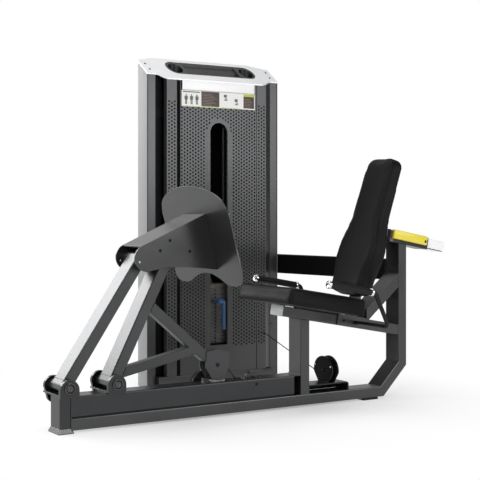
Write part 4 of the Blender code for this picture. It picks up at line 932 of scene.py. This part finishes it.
# Pads. Foam on a board, covered in black upholstery vinyl with a fine leather grain, pulled
# tight over the edges, with one sewn seam just behind the front edge.
pad_vinyl = coat("pad_vinyl", (0.0036, 0.0036, 0.0039), 0.52, tone=0.12, cloud=5.0,
                 grain=2200.0, shine=0.14)
tree = pad_vinyl.node_tree
place = tree.nodes["Texture Coordinate"].outputs["Object"]
cells = add(tree, "TexVoronoi", {"Vector": place, "Scale": 620.0}, feature="DISTANCE_TO_EDGE")
grain = roughened(tree, ramp(tree, cells.outputs["Distance"], 0.0, 0.22), 0.30, 0.00022)
fill(grain, {"Normal": tree.nodes["Bump"].outputs["Normal"]})
# The seam attribute darkens the vinyl along the seam groove: painted shade.
sewn = add(tree, "Attribute", attribute_name="seam").outputs["Fac"]
seam_painted_shade = mixed(tree, sewn, tree.nodes["Mix"].outputs[2], (0.0012, 0.0012, 0.0013, 1.0))
fill(tree.nodes["Principled BSDF"], {"Base Color": seam_painted_shade})


def basis(origin, run, normal):
    run, normal = Vector(run).normalized(), Vector(normal).normalized()
    turn = Matrix((run, (0, 1, 0), normal)).transposed().to_4x4()
    return Matrix.Translation(origin) @ turn


def swell(obj):
    last = 20
    cloth = obj.modifiers.new("cloth", "CLOTH")
    settings, cache = cloth.settings, cloth.point_cache
    settings.vertex_group_mass = "held"
    settings.use_pressure = True
    settings.uniform_pressure_force = 4.0
    settings.effector_weights.gravity = 0.0
    settings.quality = 4
    cache.frame_start, cache.frame_end = 1, last
    for step in range(1, last + 1):
        scene.frame_set(step)
    obj.data = settled(obj)
    obj.modifiers.clear()
    scene.frame_set(1)


def pad(name, outline, thick, edge, cap, seam, place, node):
    board, seam_half, seam_deep = 0.003, 0.004, 0.0015
    bm = bmesh.new()
    face = bm.faces.new([bm.verts.new((s, a, 0.0)) for s, a in outline])
    if face.normal.z > 0:
        face.normal_flip()
    grown = bmesh.ops.extrude_face_region(bm, geom=[face])["geom"]
    lid = [v for v in grown if isinstance(v, bmesh.types.BMVert)]
    for v in lid:
        v.co.z = thick(v.co.x)
    rims = [e for e in bm.edges if all(v in lid for v in e.verts)]
    bmesh.ops.bevel(bm, geom=rims, offset=edge, offset_type="OFFSET", segments=6, profile=0.5,
                    affect="EDGES", material=-1)
    bmesh.ops.recalc_face_normals(bm, faces=bm.faces)
    obj = placed(name, meshed(bm, name))
    cover = obj.modifiers.new("voxels", "REMESH")
    cover.mode = "VOXEL"
    cover.voxel_size = 0.005
    obj.data = settled(obj)
    obj.modifiers.clear()
    start = [v.co.copy() for v in obj.data.vertices]
    held = obj.vertex_groups.new(name="held")
    held.add([v.index for v in obj.data.vertices if v.co.z < board], 1.0, "REPLACE")
    swell(obj)
    bm = bmesh.new()
    bm.from_mesh(obj.data)
    for v, rest in zip(bm.verts, start):
        move = v.co - rest
        reach = move.length
        if reach > 0:
            v.co = rest + move * (cap * math.tanh(reach / cap) / reach)
        if rest.z < board:
            v.co = rest
    base = [v for v, rest in zip(bm.verts, start) if rest.z < board]
    free = [v for v, rest in zip(bm.verts, start) if rest.z >= board]
    for _ in range(9):
        bmesh.ops.smooth_vert(bm, verts=free, factor=0.5, use_axis_x=True, use_axis_y=True,
                              use_axis_z=True)
        bmesh.ops.smooth_vert(bm, verts=base, factor=0.5, use_axis_x=True, use_axis_y=True)
    bmesh.ops.subdivide_edges(bm, edges=bm.edges[:], cuts=1, use_grid_fill=True, smooth=0.5)
    bm.normal_update()

    def apart(point):
        return abs(point.z - thick(point.x) + seam)
    close = {e for f in bm.faces for e in f.edges
             if abs(f.normal.z) < 0.8 and apart(f.calc_center_median()) < 0.006}
    bmesh.ops.subdivide_edges(bm, edges=list(close), cuts=1, use_grid_fill=True, smooth=0.5)
    bm.normal_update()
    mark = bm.verts.layers.float.new("seam")
    for v in bm.verts:
        if apart(v.co) < seam_half and abs(v.normal.z) < 0.85:
            v[mark] = math.cos(apart(v.co) / seam_half * math.pi / 2) ** 2
    shift = [(v, v.normal * (-seam_deep * v[mark])) for v in bm.verts if v[mark] > 0]
    for v, move in shift:
        v.co += move
    moved(bm, place)
    bmesh.ops.recalc_face_normals(bm, faces=bm.faces)
    obj.vertex_groups.clear()
    bm.to_mesh(obj.data)
    bm.free()
    obj.data.materials.clear()
    obj.data.materials.append(pad_vinyl)
    obj.data.polygons.foreach_set("use_smooth", [True] * len(obj.data.polygons))
    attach(obj, "seat_unit")
    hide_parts(node)


def corner(cx, cy, radius, start, steps=6):
    turns = [math.radians(start + 90 * i / steps) for i in range(steps + 1)]
    return [(cx + radius * math.cos(t), cy + radius * math.sin(t)) for t in turns]


seat_normal = Vector((rail_slope, 0, 1)).normalized()
seat_place = basis(Vector((seat_front, 0, 0.49383)) + seat_normal * 0.0008,
                   (1, 0, -rail_slope), seat_normal)
wide, first, last, turn = 0.2165, 0.0015, 0.431, 0.016
outline = []
for k, (s, a) in enumerate(((last - turn, wide - turn), (first + turn, wide - turn),
                            (first + turn, turn - wide), (last - turn, turn - wide))):
    outline += corner(s, a, turn, 90 * k)
pad("seat_cushion", outline,
    lambda s: between(((0, 0.0710), (0.09, 0.0765), (0.434, 0.0765)), s),
    0.012, 0.004, 0.009, seat_place, "seat_pad")

back_lean = 0.3425
lean = Vector((back_lean, 0, 1)).normalized()
front = Vector((-1, 0, back_lean)).normalized()
back_place = basis(Vector((1.4266, 0, 0.5229)) - front * 0.0858, lean, front)
width = ((0, 0.1125), (0.084, 0.1245), (0.144, 0.1365), (0.194, 0.1465), (0.224, 0.1465),
         (0.274, 0.1380), (0.324, 0.1215), (0.374, 0.1105), (0.454, 0.1060), (0.700, 0.1030))
rise = [0.020 + 0.0145 * i for i in range(42)]
top = corner(0.688 - 0.055, 0.1035 - 0.055, 0.055, 0)
right = [(0.003, 0.094), (0.0045, 0.103), (0.010, 0.110)]
right += [(s, eased(width, s)) for s in rise if s < 0.622] + list(reversed(top))
outline = right + [(s, -a) for s, a in reversed(right)]
pad("back_cushion", outline, lambda s: 0.0745 - 0.014 * s / 0.700, 0.014, 0.007, 0.012,
    back_place, "back_pad")


# Handles. A bent black tube comes out of the carriage on each side and ends in a rubber
# grip between a chrome cap and a chrome collar.
tube_black = coat("handle_black_coat", (0.0035, 0.0035, 0.0037), 0.38, grain=900.0, shine=0.3)
chrome = coat("polished_chrome", (0.78, 0.78, 0.79), 0.09, metal=1.0, tone=0.03, grain=300.0,
              bump=0.02)
grip_rubber = coat("grip_rubber", (0.0050, 0.0050, 0.0053), 0.52, tone=0.14, grain=650.0,
                   bump=0.35, deep=0.0004, shine=0.25)
cap = [(-0.0105, 0.0), (-0.0105, 0.0050), (-0.0090, 0.0055), (-0.0100, 0.0070),
       (-0.0100, 0.0135), (-0.0070, 0.0172), (-0.0040, 0.0180), (0.0010, 0.0180),
       (0.0022, 0.0170), (0.0022, 0.0)]
collar = [(0.2325, 0.0098), (0.2325, 0.0165), (0.2345, 0.0180), (0.2430, 0.0180),
          (0.2450, 0.0160), (0.2450, 0.0098)]
plug = [(-0.0113, 0.0), (-0.0113, 0.0042), (-0.0085, 0.0046), (-0.0085, 0.0)]
ribs = [(0.0027, 0.0102), (0.0027, 0.0150), (0.0045, 0.0160)]
for k in range(36):
    h = 0.009 + k * 0.0061
    ribs += [(h, 0.0160), (h + 0.0046, 0.0160), (h + 0.0051, 0.01565), (h + 0.0056, 0.01565)]
ribs += [(0.2300, 0.0160), (0.2318, 0.0150), (0.2318, 0.0102)]
run = Vector((1, 0, -rail_slope)).normalized()
for name, s in (("left", 1), ("right", -1)):
    start = Vector((1.140, s * 0.295, 0.5785))
    end = start + run * 0.262
    path = bend((start, end, (1.470, s * 0.300, 0.375), (1.470, s * 0.0563, 0.375)), 0.026, 10)
    piece("handle_tube_" + name, rod(resample(path, 0.01), 0.010, 6), "seat_unit", tube_black,
          60.0)
    ends = [lathe(cap, start, run), lathe(collar, start, run, closed=True)]
    bright = piece("handle_caps_" + name, gather(ends), "seat_unit", chrome)
    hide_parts("handle_" + name)
    piece("handle_plug_" + name, lathe(plug, start, run, 24), "seat_unit", tray_black)
    grip = piece("grip_sleeve_" + name, lathe(ribs, start, run, 40, closed=True), "seat_unit",
                 grip_rubber)
    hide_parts("grip_" + name)


# Back adjuster. A light bar, with a dark strip along its lower edge as a painted shadow,
# fixed to the back strap, slides in a black sleeve on the column, which has a collar and a grey
# end plate. Lifting the yellow paddle frees it.
dress(bar_white, "guide_bar")
dress(coat("sleeve_black", (0.016, 0.016, 0.017), 0.34, metal=0.2, edge=0.5), "guide_sleeve")
yellow = coat("yellow_moulding", (0.80, 0.66, 0.045), 0.33, tone=0.05, grain=700.0, clear=0.3)
low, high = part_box("adjuster_paddle")
up = seat_normal
axis = Vector((1.673, 0, 0.814)) - up * 0.025
hinge = axis + run * 0.232 + up * 0.004
tip = hinge + run * 0.014 + up * 0.005
paddle_y, paddle_half = (low.y + high.y) / 2, 0.0100
slant = Matrix.Rotation(math.atan(rail_slope), 4, "Y")
handle = block(-0.2165, -0.0005, paddle_y - paddle_half, paddle_y + paddle_half, -0.0220,
               0.0220, 0.0055, 4)
lever = piece("adjuster_lever", moved(handle, Matrix.Translation((tip.x, 0, tip.z)) @ slant),
              "paddle", yellow, 30.0)
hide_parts("adjuster_paddle")
fasten("adjuster_pivot_bolt", [bolt((hinge.x, low.y, hinge.z), (0, -1, 0), 0.0062, 0.0025)],
       "frame", dark_bolt)
on_bar = Matrix.Translation(axis) @ slant
sides = [block(0.0090, 0.0218, y0, y1, z0, z1, 0.0006) for y0, y1, z0, z1 in
         ((-0.0468, -0.0406, -0.0292, 0.0292), (0.0406, 0.0468, -0.0292, 0.0292),
          (-0.0468, 0.0468, 0.0256, 0.0292), (-0.0468, 0.0468, -0.0292, -0.0256))]
piece("sleeve_collar", moved(gather(sides), on_bar), "frame", dull_bolt, 0)
skin = block(0.0228, 0.0430, -0.0474, -0.0467, -0.0285, 0.0280, 0.0002)
piece("sleeve_end_plate", moved(skin, on_bar), "frame",
      coat("sleeve_grey_moulding", (0.115, 0.100, 0.120), 0.40, tone=0.06), 0)
# A thin dark strip under the bar: painted shadow.
shadow_strip = block(0.2650, 0.3690, -0.0404, -0.0400, -0.0252, -0.0212, 0.0)
piece("guide_bar_painted_shadow", moved(shadow_strip, on_bar), "seat_unit", dull_bolt, 0)
